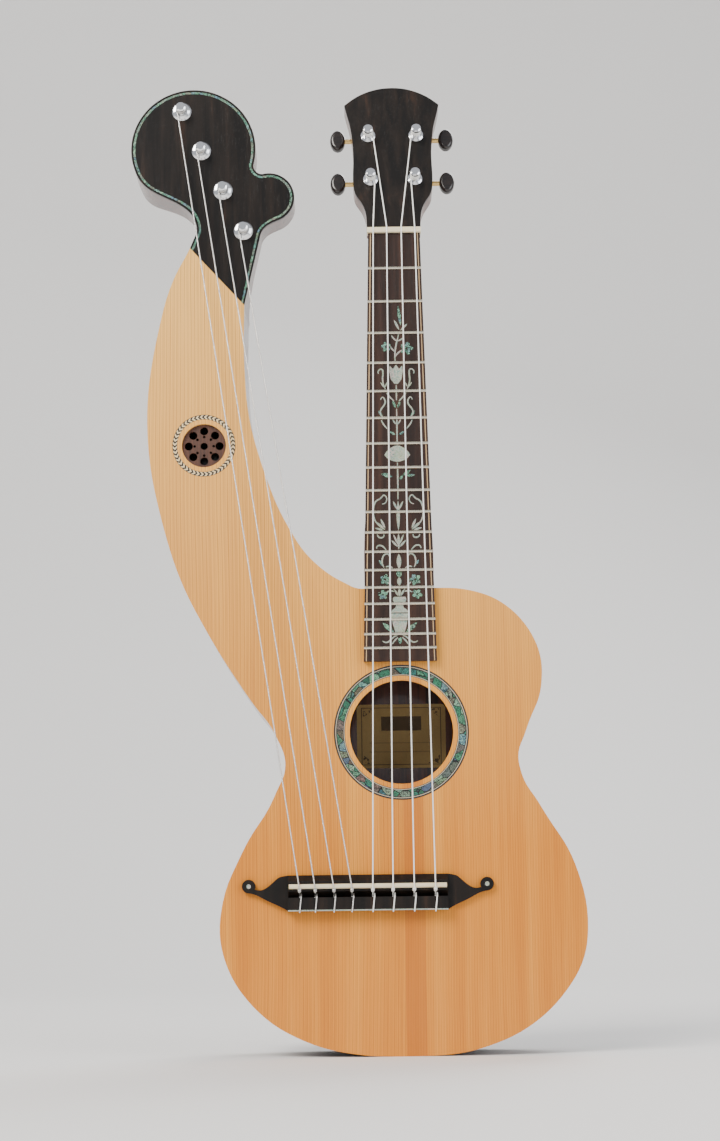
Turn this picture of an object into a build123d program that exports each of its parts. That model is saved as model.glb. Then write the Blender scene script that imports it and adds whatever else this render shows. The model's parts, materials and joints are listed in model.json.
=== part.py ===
"""Tenor harp ukulele: a guitar-shaped hollow body with a hollow bass arm, four stopped strings on a
fretted neck and four open bass strings that run to a round head at the end of the arm.

Frame: +Z runs up the neck, +X to the treble side, and the soundboard faces -Y.  The origin is the
lowest point of the tail, on the centre line of the stopped strings, halfway through the rim.
"""
from build123d import *
from math import acos, cos, degrees, pi, radians, sin, sqrt, tan
import os

os.makedirs("parts", exist_ok=True)

# ---------------------------------------------------------------- driving dimensions (mm, degrees)
body_width = 235.0  # across the lower bout
body_length = 299.5  # tail to neck joint
body_depth = 70.0  # rim depth at the tail
back_taper = 1.3  # the flat back leans in towards the arm

scale_length = 432.0  # nut to saddle
frets_to_body = 14
fret_count = 18

top_t = 2.2  # soundboard
back_t = 2.4
rib_t = 2.0
lining_w = 5.0
lining_h = 8.0

soundhole_r = 33.5
soundhole_up = 205.5  # centre above the tail
shell_in, shell_out = 4.2, 8.3  # shell ring of the rosette, measured out from the hole
purfling_in, purfling_out = 3.1, 10.3
inlay_t = 1.0

arm_hole_r = 14.6
arm_hole_across, arm_hole_up = -127.6, 396.5
rope_in, rope_out = 3.1, 6.3
grille_t = 1.8
grille_lap = 3.5

fretboard_t = 5.0
fretboard_nut_w = 34.5
fretboard_end_w = 47.5
fret_w, fret_h = 2.0, 1.0
tang_w, tang_h = 0.5, 1.6
side_line_in, side_line_w = 1.3, 0.6

nut_t = 3.8
nut_w = 36.0
nut_string_h = 7.0  # string centre above the soundboard, at the nut
saddle_t = 3.0
saddle_string_h = 10.8
string_r = 0.45
string_gap = 0.03  # between a string and the bone it bears on

bridge_middle = -23.0  # across, from the centre line
bridge_block_w = 102.0
bridge_wing = 76.2  # middle to the centre of each scroll
bridge_h = 8.0
bridge_tail, bridge_front = 15.5, 7.2  # behind and ahead of the saddle's middle
scroll_r = 4.3
wing_t = 3.4

neck_t = 14.5  # under the fretboard, at the nut
neck_heel_t = 16.5
head_pitch = 12.0
head_t = 12.0
head_plate_t = 2.0
head_rise = 1.0  # the head's wood stands this much above the neck behind the nut

arm_head_r = 42.0
arm_head_t = 22.0
arm_plate_t = 2.0
lobe_r = 17.0
purfling_inset, purfling_w = 1.4, 1.4

post_r = 3.0
post_fit = 0.05  # running clearance of a post in its bushing
post_rise = 10.0  # post above the plate
bushing_r = 4.5
flange_r, flange_t = 6.5, 2.2

gear_teeth = 14
gear_module = 0.7
gear_t = 2.4
worm_pitch_r = 2.5
worm_turns = 3
gear_backlash = 0.5
tooth_flank = 20.0
shaft_r = 1.7
shaft_fit = 0.05
tuner_plate_t = 1.2
tuner_across = (15.0, 16.3)  # lower and upper posts, each side of the centre line
tuner_up = (37.5, 71.5)  # along the head from the nut
tuner_reach = 32.0  # centre line to the inner end of a button

# ---------------------------------------------------------------- places worked out from them
front_y = -body_depth / 2
nut_up = body_length + scale_length * (1 - 2 ** (-frets_to_body / 12))
saddle_up = nut_up - scale_length
fretboard_end_up = nut_up - scale_length * (1 - 2 ** (-(fret_count + 1) / 12))
slope = tan(radians(back_taper))
full = body_depth + 10  # deeper than the body anywhere
reach = 5 * body_length  # wider than the whole instrument


def behind(depth):
    """Plane parallel to the soundboard, this far behind its face, facing the listener."""
    return Plane.XZ.offset(body_depth / 2 - depth)


def back_plane(inside):
    """Plane parallel to the tapered back, this far inside its outer face, facing away."""
    normal = (0, cos(radians(back_taper)), sin(radians(back_taper)))
    return Plane(origin=(0, body_depth / 2, 0), x_dir=(-1, 0, 0), z_dir=normal).offset(-inside)


def cut_behind(inside):
    """Cut the part off where it would stand behind the back's plane, this far inside its face."""
    extrude(Face.make_rect(reach, reach, back_plane(inside)), amount=full, mode=Mode.SUBTRACT)


def cut_before(inside):
    """Cut away what stands in front of the back's plane, this far inside its face."""
    extrude(Face.make_rect(reach, reach, back_plane(inside)), amount=-full, mode=Mode.SUBTRACT)


def at(across, up):
    """A point of the body's outline, from shares of its half width and its length."""
    return (across * body_width / 2, up * body_length)


def save(piece, name):
    """Label a finished piece and write it as its own file."""
    piece.part.label = name
    export_step(piece.part, f"parts/{name}.step")


# ---------------------------------------------------------------- body outline
tip_outer = at(-1.164, 1.776)
tip_inner = at(-0.856, 1.643)
treble_side = [
    at(0, 0), at(0.40, 0.0145), at(0.66, 0.0575), at(0.84, 0.118), at(0.974, 0.205),
    at(0.998, 0.285), at(0.936, 0.400), at(0.755, 0.525), at(0.660, 0.590), at(0.641, 0.630),
    at(0.690, 0.690), at(0.775, 0.780), at(0.774, 0.850), at(0.695, 0.918), at(0.540, 0.973),
    at(0.366, 0.996), at(0.206, 1.0),
]
arm_inside = [
    at(-0.206, 1.0), at(-0.330, 1.019), at(-0.484, 1.065), at(-0.639, 1.157), at(-0.749, 1.265),
    at(-0.832, 1.389), at(-0.858, 1.515), tip_inner,
]
bass_side = [
    tip_outer, at(-1.258, 1.703), at(-1.354, 1.565), at(-1.404, 1.419), at(-1.392, 1.293),
    at(-1.324, 1.158), at(-1.218, 1.025), at(-1.046, 0.892), at(-0.831, 0.759), at(-0.700, 0.687),
    at(-0.641, 0.618), at(-0.705, 0.548), at(-0.873, 0.437), at(-0.985, 0.330), at(-1.002, 0.250),
    at(-0.957, 0.184), at(-0.780, 0.090), at(-0.495, 0.026), at(-0.24, 0.004), at(0, 0),
]


def inward(heading):
    """Unit vector into the body, square to a heading that runs round it."""
    return Vector(-heading.Y, heading.X)


def route(points, heading_in, heading_out):
    """Smooth route through the points: pairs of tangent arcs, as (point, heading, inward) nodes."""
    knots = [Vector(*point) for point in points]
    steps = [after - before for before, after in zip(knots, knots[1:])]
    pulls = [step / step.dot(step) for step in steps]
    headings = [(before + after).normalized() for before, after in zip(pulls, pulls[1:])]
    headings = [Vector(*heading_in).normalized(), *headings, Vector(*heading_out).normalized()]
    nodes = [(knots[0], headings[0])]
    for start, finish, out, into in zip(knots, knots[1:], headings, headings[1:]):
        chord = finish - start
        spread = 2 * (1 - out.dot(into))
        lean = chord.dot(out + into)
        if spread < 1e-4:
            handle = chord.dot(chord) / (4 * chord.dot(into))
        else:
            handle = (sqrt(lean * lean + spread * chord.dot(chord)) - lean) / spread
        middle = (start + finish + (out - into) * handle) * 0.5
        half_chord = (middle - start).normalized()
        turned = half_chord * (2 * out.dot(half_chord)) - out
        nodes += [(middle, turned), (finish, into)]
    return [(point, heading, inward(heading)) for point, heading in nodes]


def mitre(node, heading_after):
    """A corner node, whose inset point keeps its distance from both sides."""
    point, heading, square = node
    both = square + inward(heading_after)
    return (point, heading, both * (2 / both.dot(both)))


treble_nodes = route(treble_side, (1, 0), (-1, 0))
arm_nodes = route(arm_inside, (-1, 0), (0.02, 1))
bass_nodes = route(bass_side, (-0.42, -0.9), (1, 0))
end_heading = Vector(tip_outer[0] - tip_inner[0], tip_outer[1] - tip_inner[1]).normalized()
arm_nodes[-1] = mitre(arm_nodes[-1], end_heading)
outer_point, outer_heading, _ = bass_nodes[0]
bass_nodes[0] = (outer_point, outer_heading, mitre((outer_point, outer_heading, inward(outer_heading)),
                                                   end_heading)[2])


def draw_body(inset):
    """Draw the body's outline as lines and arcs, this far inside the outside of the rim."""
    last = None
    for nodes in (treble_nodes, arm_nodes, bass_nodes):
        places = [(point + square * inset, heading) for point, heading, square in nodes]
        if last is not None:
            Line(last, places[0][0])
        for (start, heading), (finish, _) in zip(places, places[1:]):
            chord = finish - start
            if abs(heading.cross(chord).Z) < 0.002 * chord.length:
                Line(start, finish)
            else:
                TangentArc(start, finish, tangent=heading)
        last = places[-1][0]


with BuildSketch() as outline:
    with BuildLine():
        draw_body(0)
    make_face()
with BuildSketch() as inside_ribs:
    with BuildLine():
        draw_body(rib_t)
    make_face()
with BuildSketch() as inside_linings:
    with BuildLine():
        draw_body(rib_t + lining_w)
    make_face()

bridge_plate_h, bridge_plate_t = 32.0, 2.5
block_w, neck_block_l, tail_block_l = 60.0, 26.0, 16.0
tip_mid = ((tip_outer[0] + tip_inner[0]) / 2, (tip_outer[1] + tip_inner[1]) / 2)
tip_len = sqrt((tip_outer[0] - tip_inner[0]) ** 2 + (tip_outer[1] - tip_inner[1]) ** 2)
along = Vector(tip_inner[0] - tip_outer[0], 0, tip_inner[1] - tip_outer[1]).normalized()
away = Vector(-along.Z, 0, along.X)  # square to the arm's end, away from the body
arm_depth = body_depth - tip_mid[1] * slope
tenon_w, tenon_l, tenon_margin = 0.55 * tip_len, 24.0, 8.0

# ---------------------------------------------------------------- soundboard
with BuildPart() as soundboard:
    with BuildSketch(behind(top_t)):
        add(outline.sketch)
        with Locations((0, soundhole_up)):
            Circle(soundhole_r, mode=Mode.SUBTRACT)
        with Locations((arm_hole_across, arm_hole_up)):
            Circle(arm_hole_r, mode=Mode.SUBTRACT)
    extrude(amount=top_t)
    with BuildSketch(behind(0)):
        with Locations((0, soundhole_up)):
            Circle(soundhole_r + purfling_out)
            Circle(soundhole_r + purfling_in, mode=Mode.SUBTRACT)
        with Locations((arm_hole_across, arm_hole_up)):
            Circle(arm_hole_r + rope_out)
            Circle(arm_hole_r + rope_in, mode=Mode.SUBTRACT)
    extrude(amount=-inlay_t, mode=Mode.SUBTRACT)
save(soundboard, "soundboard")

# ---------------------------------------------------------------- rosettes, let in flush
with BuildPart() as rosette_shell:
    with BuildSketch(behind(0)):
        with Locations((0, soundhole_up)):
            Circle(soundhole_r + shell_out)
            Circle(soundhole_r + shell_in, mode=Mode.SUBTRACT)
    extrude(amount=-inlay_t)
save(rosette_shell, "rosette_shell")

with BuildPart() as rosette_purfling:
    with BuildSketch(behind(0)):
        with Locations((0, soundhole_up)):
            Circle(soundhole_r + purfling_out)
            Circle(soundhole_r + shell_out, mode=Mode.SUBTRACT)
            Circle(soundhole_r + shell_in)
            Circle(soundhole_r + purfling_in, mode=Mode.SUBTRACT)
    extrude(amount=-inlay_t)
save(rosette_purfling, "rosette_purfling")

with BuildPart() as arm_rosette:
    with BuildSketch(behind(0)):
        with Locations((arm_hole_across, arm_hole_up)):
            Circle(arm_hole_r + rope_out)
            Circle(arm_hole_r + rope_in, mode=Mode.SUBTRACT)
    extrude(amount=-inlay_t)
save(arm_rosette, "arm_rosette")

# pierced disc glued under the arm's hole: a ring of round lobes about a centre hole
grille_holes, grille_ring_r, grille_hole_r, grille_centre_r = 8, 10.2, 2.7, 2.4
with BuildPart() as arm_grille:
    with BuildSketch(behind(top_t)):
        with Locations((arm_hole_across, arm_hole_up)):
            Circle(arm_hole_r + grille_lap)
            Circle(grille_centre_r, mode=Mode.SUBTRACT)
            with PolarLocations(grille_ring_r, grille_holes):
                Circle(grille_hole_r, mode=Mode.SUBTRACT)
            with PolarLocations(grille_ring_r - grille_hole_r - 1.2, grille_holes):
                Circle(grille_hole_r / 3, mode=Mode.SUBTRACT)
    extrude(amount=-grille_t)
save(arm_grille, "arm_grille")

# ---------------------------------------------------------------- back, ribs, linings, blocks
with BuildPart() as back:
    with BuildSketch(behind(0)):
        add(outline.sketch)
    extrude(amount=-full)
    cut_behind(0)
    cut_before(back_t)
save(back, "back")

end_plane = Plane(origin=(tip_mid[0], front_y, tip_mid[1]), x_dir=(0, 1, 0), z_dir=away)
tenon_d = arm_depth - top_t - back_t - 2 * tenon_margin
with BuildPart() as ribs:
    with BuildSketch(behind(top_t)):
        add(outline.sketch)
        add(inside_ribs.sketch, mode=Mode.SUBTRACT)
    extrude(amount=-full)
    cut_behind(back_t)
    # mortise in the wall that closes the arm, for the head's tenon
    with BuildSketch(end_plane):
        with Locations((top_t + tenon_margin + tenon_d / 2, 0)):
            Rectangle(tenon_d, tenon_w)
    extrude(amount=-2 * rib_t, mode=Mode.SUBTRACT)
save(ribs, "ribs")

with BuildPart() as linings:
    with BuildSketch(behind(top_t)):
        add(inside_ribs.sketch)
        add(inside_linings.sketch, mode=Mode.SUBTRACT)
        with Locations((0, body_length)):
            Rectangle(block_w, 2 * neck_block_l, mode=Mode.SUBTRACT)
        Rectangle(block_w, 2 * tail_block_l, mode=Mode.SUBTRACT)
        with Locations(Location((tip_mid[0], tip_mid[1]), 0)):
            Circle(tip_len / 2, mode=Mode.SUBTRACT)
    extrude(amount=-full)
    cut_behind(back_t)
    # the space between the front and the back strip
    with BuildSketch(Plane.YZ):
        with BuildLine():
            Polyline(
                (front_y + top_t + lining_h, -1),
                (body_depth / 2 - back_t - lining_h, -1),
                (body_depth / 2 - back_t - lining_h - 2 * body_length * slope, 2 * body_length),
                (front_y + top_t + lining_h, 2 * body_length),
                close=True,
            )
        make_face()
    extrude(amount=body_width, both=True, mode=Mode.SUBTRACT)
save(linings, "linings")

with BuildPart() as neck_block:
    with BuildSketch(behind(top_t)):
        with Locations((0, body_length)):
            Rectangle(block_w, 2 * neck_block_l)
        add(inside_ribs.sketch, mode=Mode.INTERSECT)
    extrude(amount=-full)
    cut_behind(back_t)
save(neck_block, "neck_block")

with BuildPart() as tail_block:
    with BuildSketch(behind(top_t)):
        Rectangle(block_w, 2 * tail_block_l)
        add(inside_ribs.sketch, mode=Mode.INTERSECT)
    extrude(amount=-full)
    cut_behind(back_t)
save(tail_block, "tail_block")

# ---------------------------------------------------------------- bracing under the soundboard
bar_w, bar_h = 6.0, 8.0
bar_gap = 9.0  # from the rosette to the bars each side of it
hole_bar_up = soundhole_up + soundhole_r + purfling_out + bar_gap
waist_bar_up = soundhole_up - soundhole_r - purfling_out - bar_gap
fan_count, fan_step, fan_spread = 3, 34.0, 7.0
bridge_plate_w = bridge_block_w + 24  # wider than the block that it backs
fan_top = waist_bar_up - 12
fan_foot = tail_block_l + 14
arm_bar_ups = (arm_hole_up - 46, arm_hole_up + 46)
with BuildPart() as top_braces:
    with BuildSketch(behind(top_t)):
        with Locations((0, hole_bar_up), (0, waist_bar_up)):
            Rectangle(body_width, bar_w)
        with Locations(*[(arm_hole_across, up) for up in arm_bar_ups]):
            Rectangle(body_width / 3, bar_w)
        for i in range(fan_count):
            side = i - (fan_count - 1) / 2
            with Locations(Location((side * fan_step, (fan_top + fan_foot) / 2), -side * fan_spread)):
                Rectangle(bar_w, fan_top - fan_foot)
        add(inside_linings.sketch, mode=Mode.INTERSECT)
        with Locations((bridge_middle, saddle_up)):
            Rectangle(bridge_plate_w, bridge_plate_h, mode=Mode.SUBTRACT)
    extrude(amount=-bar_h)
save(top_braces, "top_braces")

with BuildPart() as bridge_plate:
    with BuildSketch(behind(top_t)):
        with Locations((bridge_middle, saddle_up)):
            Rectangle(bridge_plate_w, bridge_plate_h)
    extrude(amount=-bridge_plate_t)
save(bridge_plate, "bridge_plate")

back_bar_h = 9.0
label_up, label_across, label_w, label_h, label_t = 208.0, 1.0, 60.0, 43.0, 0.3
body_bar_ups = (0.22 * body_length, label_up - label_h, label_up + label_h)
back_bar_ups = (*body_bar_ups, arm_hole_up - 30, arm_hole_up + 50)
with BuildPart() as back_braces:
    with BuildSketch(behind(0)):
        with Locations(*[(0, up) for up in back_bar_ups]):
            Rectangle(2 * body_width, bar_w)
        add(inside_linings.sketch, mode=Mode.INTERSECT)
    extrude(amount=-full)
    cut_behind(back_t)
    cut_before(back_t + back_bar_h)
save(back_braces, "back_braces")

with BuildPart() as maker_label:
    with BuildSketch(back_plane(back_t)):
        with Locations((-label_across, label_up)):
            RectangleRounded(label_w, label_h, 3)
    extrude(amount=-label_t)
save(maker_label, "maker_label")

# ---------------------------------------------------------------- neck
head_plane = Plane(
    origin=(0, front_y - head_rise, nut_up + nut_t),
    x_dir=(1, 0, 0),
    z_dir=(0, -cos(radians(head_pitch)), sin(radians(head_pitch))),
)
head_side = [
    (18.0, 0), (18.9, 13), (21.6, 20), (25.4, 26.5), (26.7, 33), (26.6, 50), (26.9, 66), (28.7, 80),
    (32.3, 96),
]
crown = [(24.5, 102.3), (15.5, 106.9)]
crown_top = 109.7


def board_half(up):
    """Half the fretboard's width at a height above the tail."""
    share = (nut_up - up) / (nut_up - fretboard_end_up)
    return (fretboard_nut_w + share * (fretboard_end_w - fretboard_nut_w)) / 2


def neck_section(up, half, depth, foot, shoulder):
    """Cross-section of the neck: flat under the fretboard, tapered sides and a round back."""
    with BuildSketch(Plane.XY.offset(up)) as section:
        with BuildLine():
            back_right = (foot, front_y + shoulder)
            back_left = (-foot, front_y + shoulder)
            Line((-half, front_y), (half, front_y))
            Line((half, front_y), back_right)
            ThreePointArc(back_right, (0, front_y + depth), back_left)
            Line(back_left, (-half, front_y))
        make_face()
    return section.sketch.face()


heel_top_up = body_length + 46
heel_depth = body_depth - body_length * slope
heel_half = board_half(body_length)
heel_sections = [
    neck_section(body_length, heel_half, heel_depth, 0.45 * heel_half, heel_depth - 6),
    neck_section(body_length + 8, heel_half, 0.80 * heel_depth, 0.55 * heel_half, 0.80 * heel_depth - 7),
    neck_section(body_length + 22, heel_half, 0.42 * heel_depth, 0.78 * heel_half, 0.42 * heel_depth - 9),
    neck_section(heel_top_up, board_half(heel_top_up), neck_heel_t, 0.93 * heel_half, 5),
]
nut_section = neck_section(nut_up, fretboard_nut_w / 2, neck_t, 0.93 * fretboard_nut_w / 2, 4)
volute_section = neck_section(nut_up + nut_t + 19, nut_w / 2 + 1, neck_t + 0.9, 0.45 * nut_w, 6)
tuner_spots = [(side * x, u) for x, u in zip(tuner_across, tuner_up) for side in (-1, 1)]
screw_r, screw_l, screw_head_r, screw_head_t = 1.0, 8.0, 1.8, 1.1
screw_low, screw_high = -8.2, 13.2  # along the head, from the post
screw_spots = [(x, u + step) for x, u in tuner_spots for step in (screw_low, screw_high)]
with BuildPart() as neck:
    loft(sections=heel_sections)
    loft(sections=[heel_sections[-1], nut_section], ruled=True)
    loft(sections=[nut_section, volute_section], ruled=True)
    with BuildSketch(head_plane):
        with Locations((0, 40)):
            Rectangle(80, 80)
    extrude(amount=20, mode=Mode.SUBTRACT)
    with BuildSketch(head_plane) as head_face:
        with BuildLine():
            right = [(x, u) for x, u in head_side]
            left = [(-x, u) for x, u in reversed(head_side)]
            Spline(*right, tangents=((0.02, 1), (0.2, 1)))
            Spline(right[-1], *crown, (0, crown_top), tangents=((-0.7, 0.6), (-1, 0)))
            Spline((0, crown_top), *[(-x, u) for x, u in reversed(crown)], left[0],
                   tangents=((-1, 0), (-0.7, -0.6)))
            Spline(*left, tangents=((0.2, -1), (0.02, -1)))
            Line(left[-1], right[0])
        make_face()
    extrude(amount=-head_t)
    # seat of the nut
    with BuildSketch(behind(0)):
        with Locations((0, nut_up + nut_t / 2)):
            Rectangle(nut_w, nut_t)
    extrude(amount=2 * head_rise, mode=Mode.SUBTRACT)
    # bores for the tuners' bushings, and pilots for their screws
    with BuildSketch(head_plane):
        with Locations(*tuner_spots):
            Circle(bushing_r)
    extrude(amount=-head_t, mode=Mode.SUBTRACT)
    with BuildSketch(head_plane.offset(-head_t)):
        with Locations(*screw_spots):
            Circle(screw_r)
    extrude(amount=screw_l, mode=Mode.SUBTRACT)
save(neck, "neck")

# ---------------------------------------------------------------- head plate
with BuildPart() as headstock_plate:
    with BuildSketch(head_plane):
        add(head_face.sketch_local)
        with Locations(*tuner_spots):
            Circle(bushing_r, mode=Mode.SUBTRACT)
    extrude(amount=head_plate_t)
save(headstock_plate, "headstock_plate")

# ---------------------------------------------------------------- fretboard, lines, frets, nut
fret_ups = [nut_up - scale_length * (1 - 2 ** (-n / 12)) for n in range(1, fret_count + 1)]


def board_edge(inset, up):
    """Point of the fretboard's treble edge, this far inside it, at a height above the tail."""
    return (board_half(up) - inset, up)


with BuildPart() as fret_slots:
    with BuildSketch(behind(-fretboard_t)):
        with Locations(*[(0, up) for up in fret_ups]):
            Rectangle(2 * fretboard_end_w, tang_w)
    extrude(amount=-tang_h)

with BuildSketch(behind(0)) as side_lines:
    with BuildLine():
        Polyline(
            board_edge(side_line_in, nut_up),
            board_edge(side_line_in, fretboard_end_up),
            board_edge(side_line_in + side_line_w, fretboard_end_up),
            board_edge(side_line_in + side_line_w, nut_up),
            close=True,
        )
    make_face()
    mirror(about=Plane.YZ)

with BuildPart() as fretboard_lines:
    with BuildSketch(behind(-fretboard_t)):
        add(side_lines.sketch_local)
    extrude(amount=-inlay_t)
    add(fret_slots.part, mode=Mode.SUBTRACT)
save(fretboard_lines, "fretboard_lines")

# inlaid vine: pearl stems, scrolls, cups and a vase, with abalone leaves and flowers between them
stem_w = 1.0


def spot(across, fret):
    """Point on the fretboard, across from the centre line and at a whole or part fret."""
    return Vector(across, nut_up - scale_length * (1 - 2 ** (-fret / 12)))


def leaf(foot, tip, width):
    """Pointed leaf between two spots."""
    foot, tip = spot(*foot), spot(*tip)
    spine = tip - foot
    belly = Vector(-spine.Y, spine.X).normalized() * (width / 2)
    middle = foot + spine * 0.5
    left = ThreePointArc(foot, middle + belly, tip, mode=Mode.PRIVATE)
    right = ThreePointArc(tip, middle - belly, foot, mode=Mode.PRIVATE)
    add(make_face([left, right], mode=Mode.PRIVATE))


def stroke(spots, width):
    """Curved stroke through the spots, full width in the middle and finer at its ends."""
    guide = Spline(*[spot(*one) for one in spots], mode=Mode.PRIVATE)
    shares = [i / (2 * len(spots)) for i in range(2 * len(spots) + 1)]
    squares = [Vector(-(guide % t).Y, (guide % t).X) for t in shares]
    halves = [width * (0.28 + 0.22 * sin(pi * t)) for t in shares]
    left = [guide @ t + square * half for t, square, half in zip(shares, squares, halves)]
    right = [guide @ t - square * half for t, square, half in zip(shares, squares, halves)]
    edges = [
        Spline(*left, mode=Mode.PRIVATE),
        Line(left[-1], right[-1], mode=Mode.PRIVATE),
        Spline(*reversed(right), mode=Mode.PRIVATE),
        Line(right[0], left[0], mode=Mode.PRIVATE),
    ]
    add(make_face(edges, mode=Mode.PRIVATE))


def plate(half_outline):
    """Symmetric plate from the spots of its treble half, listed from top to bottom."""
    treble = [spot(*one) for one in half_outline]
    bass = [Vector(-point.X, point.Y) for point in reversed(treble)]
    Polygon(*treble, *bass, align=None)


def flower(across, fret, size, turn):
    """Five small petals about a spot."""
    heart = spot(across, fret)
    for k in range(5):
        heading = Vector(0, 1).rotate(Axis.Z, turn + 72 * k)
        foot, tip = heart + heading * (0.08 * size), heart + heading * (0.52 * size)
        belly = Vector(-heading.Y, heading.X) * (0.17 * size)
        middle = (foot + tip) * 0.5
        left = ThreePointArc(foot, middle + belly, tip, mode=Mode.PRIVATE)
        right = ThreePointArc(tip, middle - belly, foot, mode=Mode.PRIVATE)
        add(make_face([left, right], mode=Mode.PRIVATE))


scrolls = [
    [(11.5, 4.38), (11.2, 4.25), (9.6, 4.22), (8.7, 4.38), (9.0, 4.57), (8.2, 4.80), (7.2, 4.93)],
    [(1.6, 5.37), (4.0, 5.24), (6.4, 5.07)],
    [(10.3, 5.32), (9.2, 5.22), (7.5, 5.36), (8.6, 5.55), (10.3, 5.68), (10.7, 5.84), (8.9, 5.95)],
    [(10.2, 6.08), (8.7, 6.25), (6.4, 6.42)],
    [(0.7, 6.24), (1.7, 6.16), (2.6, 6.06)],
    [(10.4, 9.63), (8.3, 9.57), (7.4, 9.38), (9.1, 9.22), (11.3, 9.36), (13.8, 9.46), (15.8, 9.68),
     (16.4, 9.98), (15.8, 10.31), (13.3, 10.62), (8.8, 10.86)],
    [(9.6, 11.10), (10.5, 11.26), (12.4, 11.26), (13.8, 11.10)],
    [(8.2, 11.94), (9.6, 11.78), (12.0, 11.67), (14.0, 11.71), (14.3, 11.84)],
    [(6.2, 12.26), (7.6, 12.12), (9.6, 12.18), (10.8, 12.38), (10.9, 12.62), (9.8, 12.86)],
    [(4.2, 12.90), (6.4, 12.80), (8.6, 12.84)],
    [(3.2, 14.14), (5.2, 13.92), (7.6, 13.70)],
    [(3.4, 14.26), (5.8, 14.22), (8.4, 14.30)],
    [(1.8, 17.14), (5.0, 17.30), (8.0, 17.58), (11.4, 17.50)],
    [(1.4, 17.26), (3.6, 17.48), (5.2, 17.74)],
]
mirrored_leaves = [
    ((7.9, 4.88), (10.4, 4.68), 0.9), ((7.4, 4.86), (5.9, 4.68), 0.9), ((7.6, 6.34), (10.0, 6.16), 0.9),
    ((0.6, 9.90), (3.3, 9.50), 1.3), ((8.6, 10.82), (11.6, 10.33), 1.5), ((9.2, 10.84), (14.6, 10.48), 1.5),
    ((9.8, 10.90), (15.4, 10.78), 1.4), ((0.6, 11.76), (4.8, 11.40), 1.4), ((0.6, 11.62), (3.4, 11.10), 1.2),
    ((0.7, 14.54), (3.3, 14.12), 1.3),
]
with BuildSketch(behind(-fretboard_t)) as pearl:
    for spots in scrolls:
        stroke(spots, stem_w)
        stroke([(-across, fret) for across, fret in spots], stem_w)
    for foot, tip, width in mirrored_leaves:
        leaf(foot, tip, width)
        leaf((-foot[0], foot[1]), (-tip[0], tip[1]), width)
    for spots in (
        [(-0.4, 3.95), (-0.6, 3.73), (0.8, 3.30), (2.1, 3.05)], [(0.6, 3.27), (-1.0, 3.20), (-2.6, 3.09)],
        [(1.0, 3.27), (3.0, 3.24), (5.2, 3.16)], [(-0.6, 3.62), (-2.0, 3.56), (-3.4, 3.45)],
        [(-0.4, 3.80), (1.8, 3.66), (4.0, 3.58)], [(0, 4.78), (0.05, 5.07), (0, 5.34)],
        [(0, 5.66), (0.05, 6.40), (0, 7.08)], [(0, 7.80), (0.05, 8.60), (0, 9.42)],
    ):
        stroke(spots, stem_w)
    leaf((2.6, 2.92), (-0.9, 2.58), 1.5)
    leaf((3.3, 2.93), (8.0, 2.71), 1.4)
    leaf((0, 10.93), (0, 9.48), 2.2)
    leaf((0, 11.90), (0, 11.06), 1.8)
    leaf((0, 12.96), (0, 12.12), 3.0)
    leaf((0, 13.90), (0, 13.42), 2.8)
    leaf((0, 14.56), (0, 14.06), 1.8)
    # tulip, shell cap, ring, and the vase's lid, band and bowl
    plate([(0.0, 4.07), (2.0, 4.22), (4.2, 4.10), (4.5, 4.30), (3.5, 4.58), (1.2, 4.74)])
    plate([(1.6, 7.10), (4.8, 7.20), (7.4, 7.36), (8.5, 7.48), (6.6, 7.62), (3.6, 7.72), (1.2, 7.76)])
    plate([(3.6, 14.58), (4.3, 14.66), (4.3, 14.82), (3.6, 14.90)])
    plate([(2.3, 15.10), (2.6, 15.25), (4.6, 15.38), (6.0, 15.57)])
    plate([(6.3, 15.63), (6.3, 15.80), (5.4, 15.90)])
    plate([(4.9, 16.06), (4.6, 16.34), (3.0, 16.88)])

with BuildSketch(behind(-fretboard_t)) as abalone:
    leaf((3.6, 2.78), (1.9, 2.14), 2.0)
    flower(-6.4, 3.46, 6.5, 10)
    flower(7.2, 3.52, 8.5, -15)
    for side in (-1, 1):
        leaf((side * 0.6, 5.62), (side * 2.5, 5.36), 1.7)
        leaf((side * 9.3, 5.97), (side * 12.0, 5.72), 1.5)
        leaf((side * 1.1, 6.66), (side * 4.8, 6.54), 1.6)
        leaf((side * 10.2, 12.80), (side * 13.0, 12.44), 1.6)
        leaf((side * 3.9, 16.90), (side * 11.2, 16.24), 3.0)
    leaf((-3.4, 8.40), (-10.6, 8.28), 2.6)
    leaf((1.4, 8.56), (3.2, 8.34), 1.6)
    leaf((3.4, 8.36), (8.6, 8.12), 2.0)
    leaf((5.6, 8.36), (11.4, 8.34), 1.8)
    leaf((0, 13.40), (0, 13.03), 3.6)
    flower(10.4, 13.56, 7.5, 20)
    flower(-9.0, 13.54, 7.0, -10)
    flower(11.6, 14.42, 6.5, 40)
    flower(-10.8, 14.44, 6.5, 5)
    leaf((0, 17.72), (0, 17.22), 2.6)
    add(pearl.sketch_local, mode=Mode.SUBTRACT)

with BuildPart() as pearl_inlay:
    for piece in pearl.sketch.faces():
        extrude(piece, amount=-inlay_t)
    add(fret_slots.part, mode=Mode.SUBTRACT)
save(pearl_inlay, "pearl_inlay")

with BuildPart() as abalone_inlay:
    for piece in abalone.sketch.faces():
        extrude(piece, amount=-inlay_t)
    add(fret_slots.part, mode=Mode.SUBTRACT)
save(abalone_inlay, "abalone_inlay")

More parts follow.
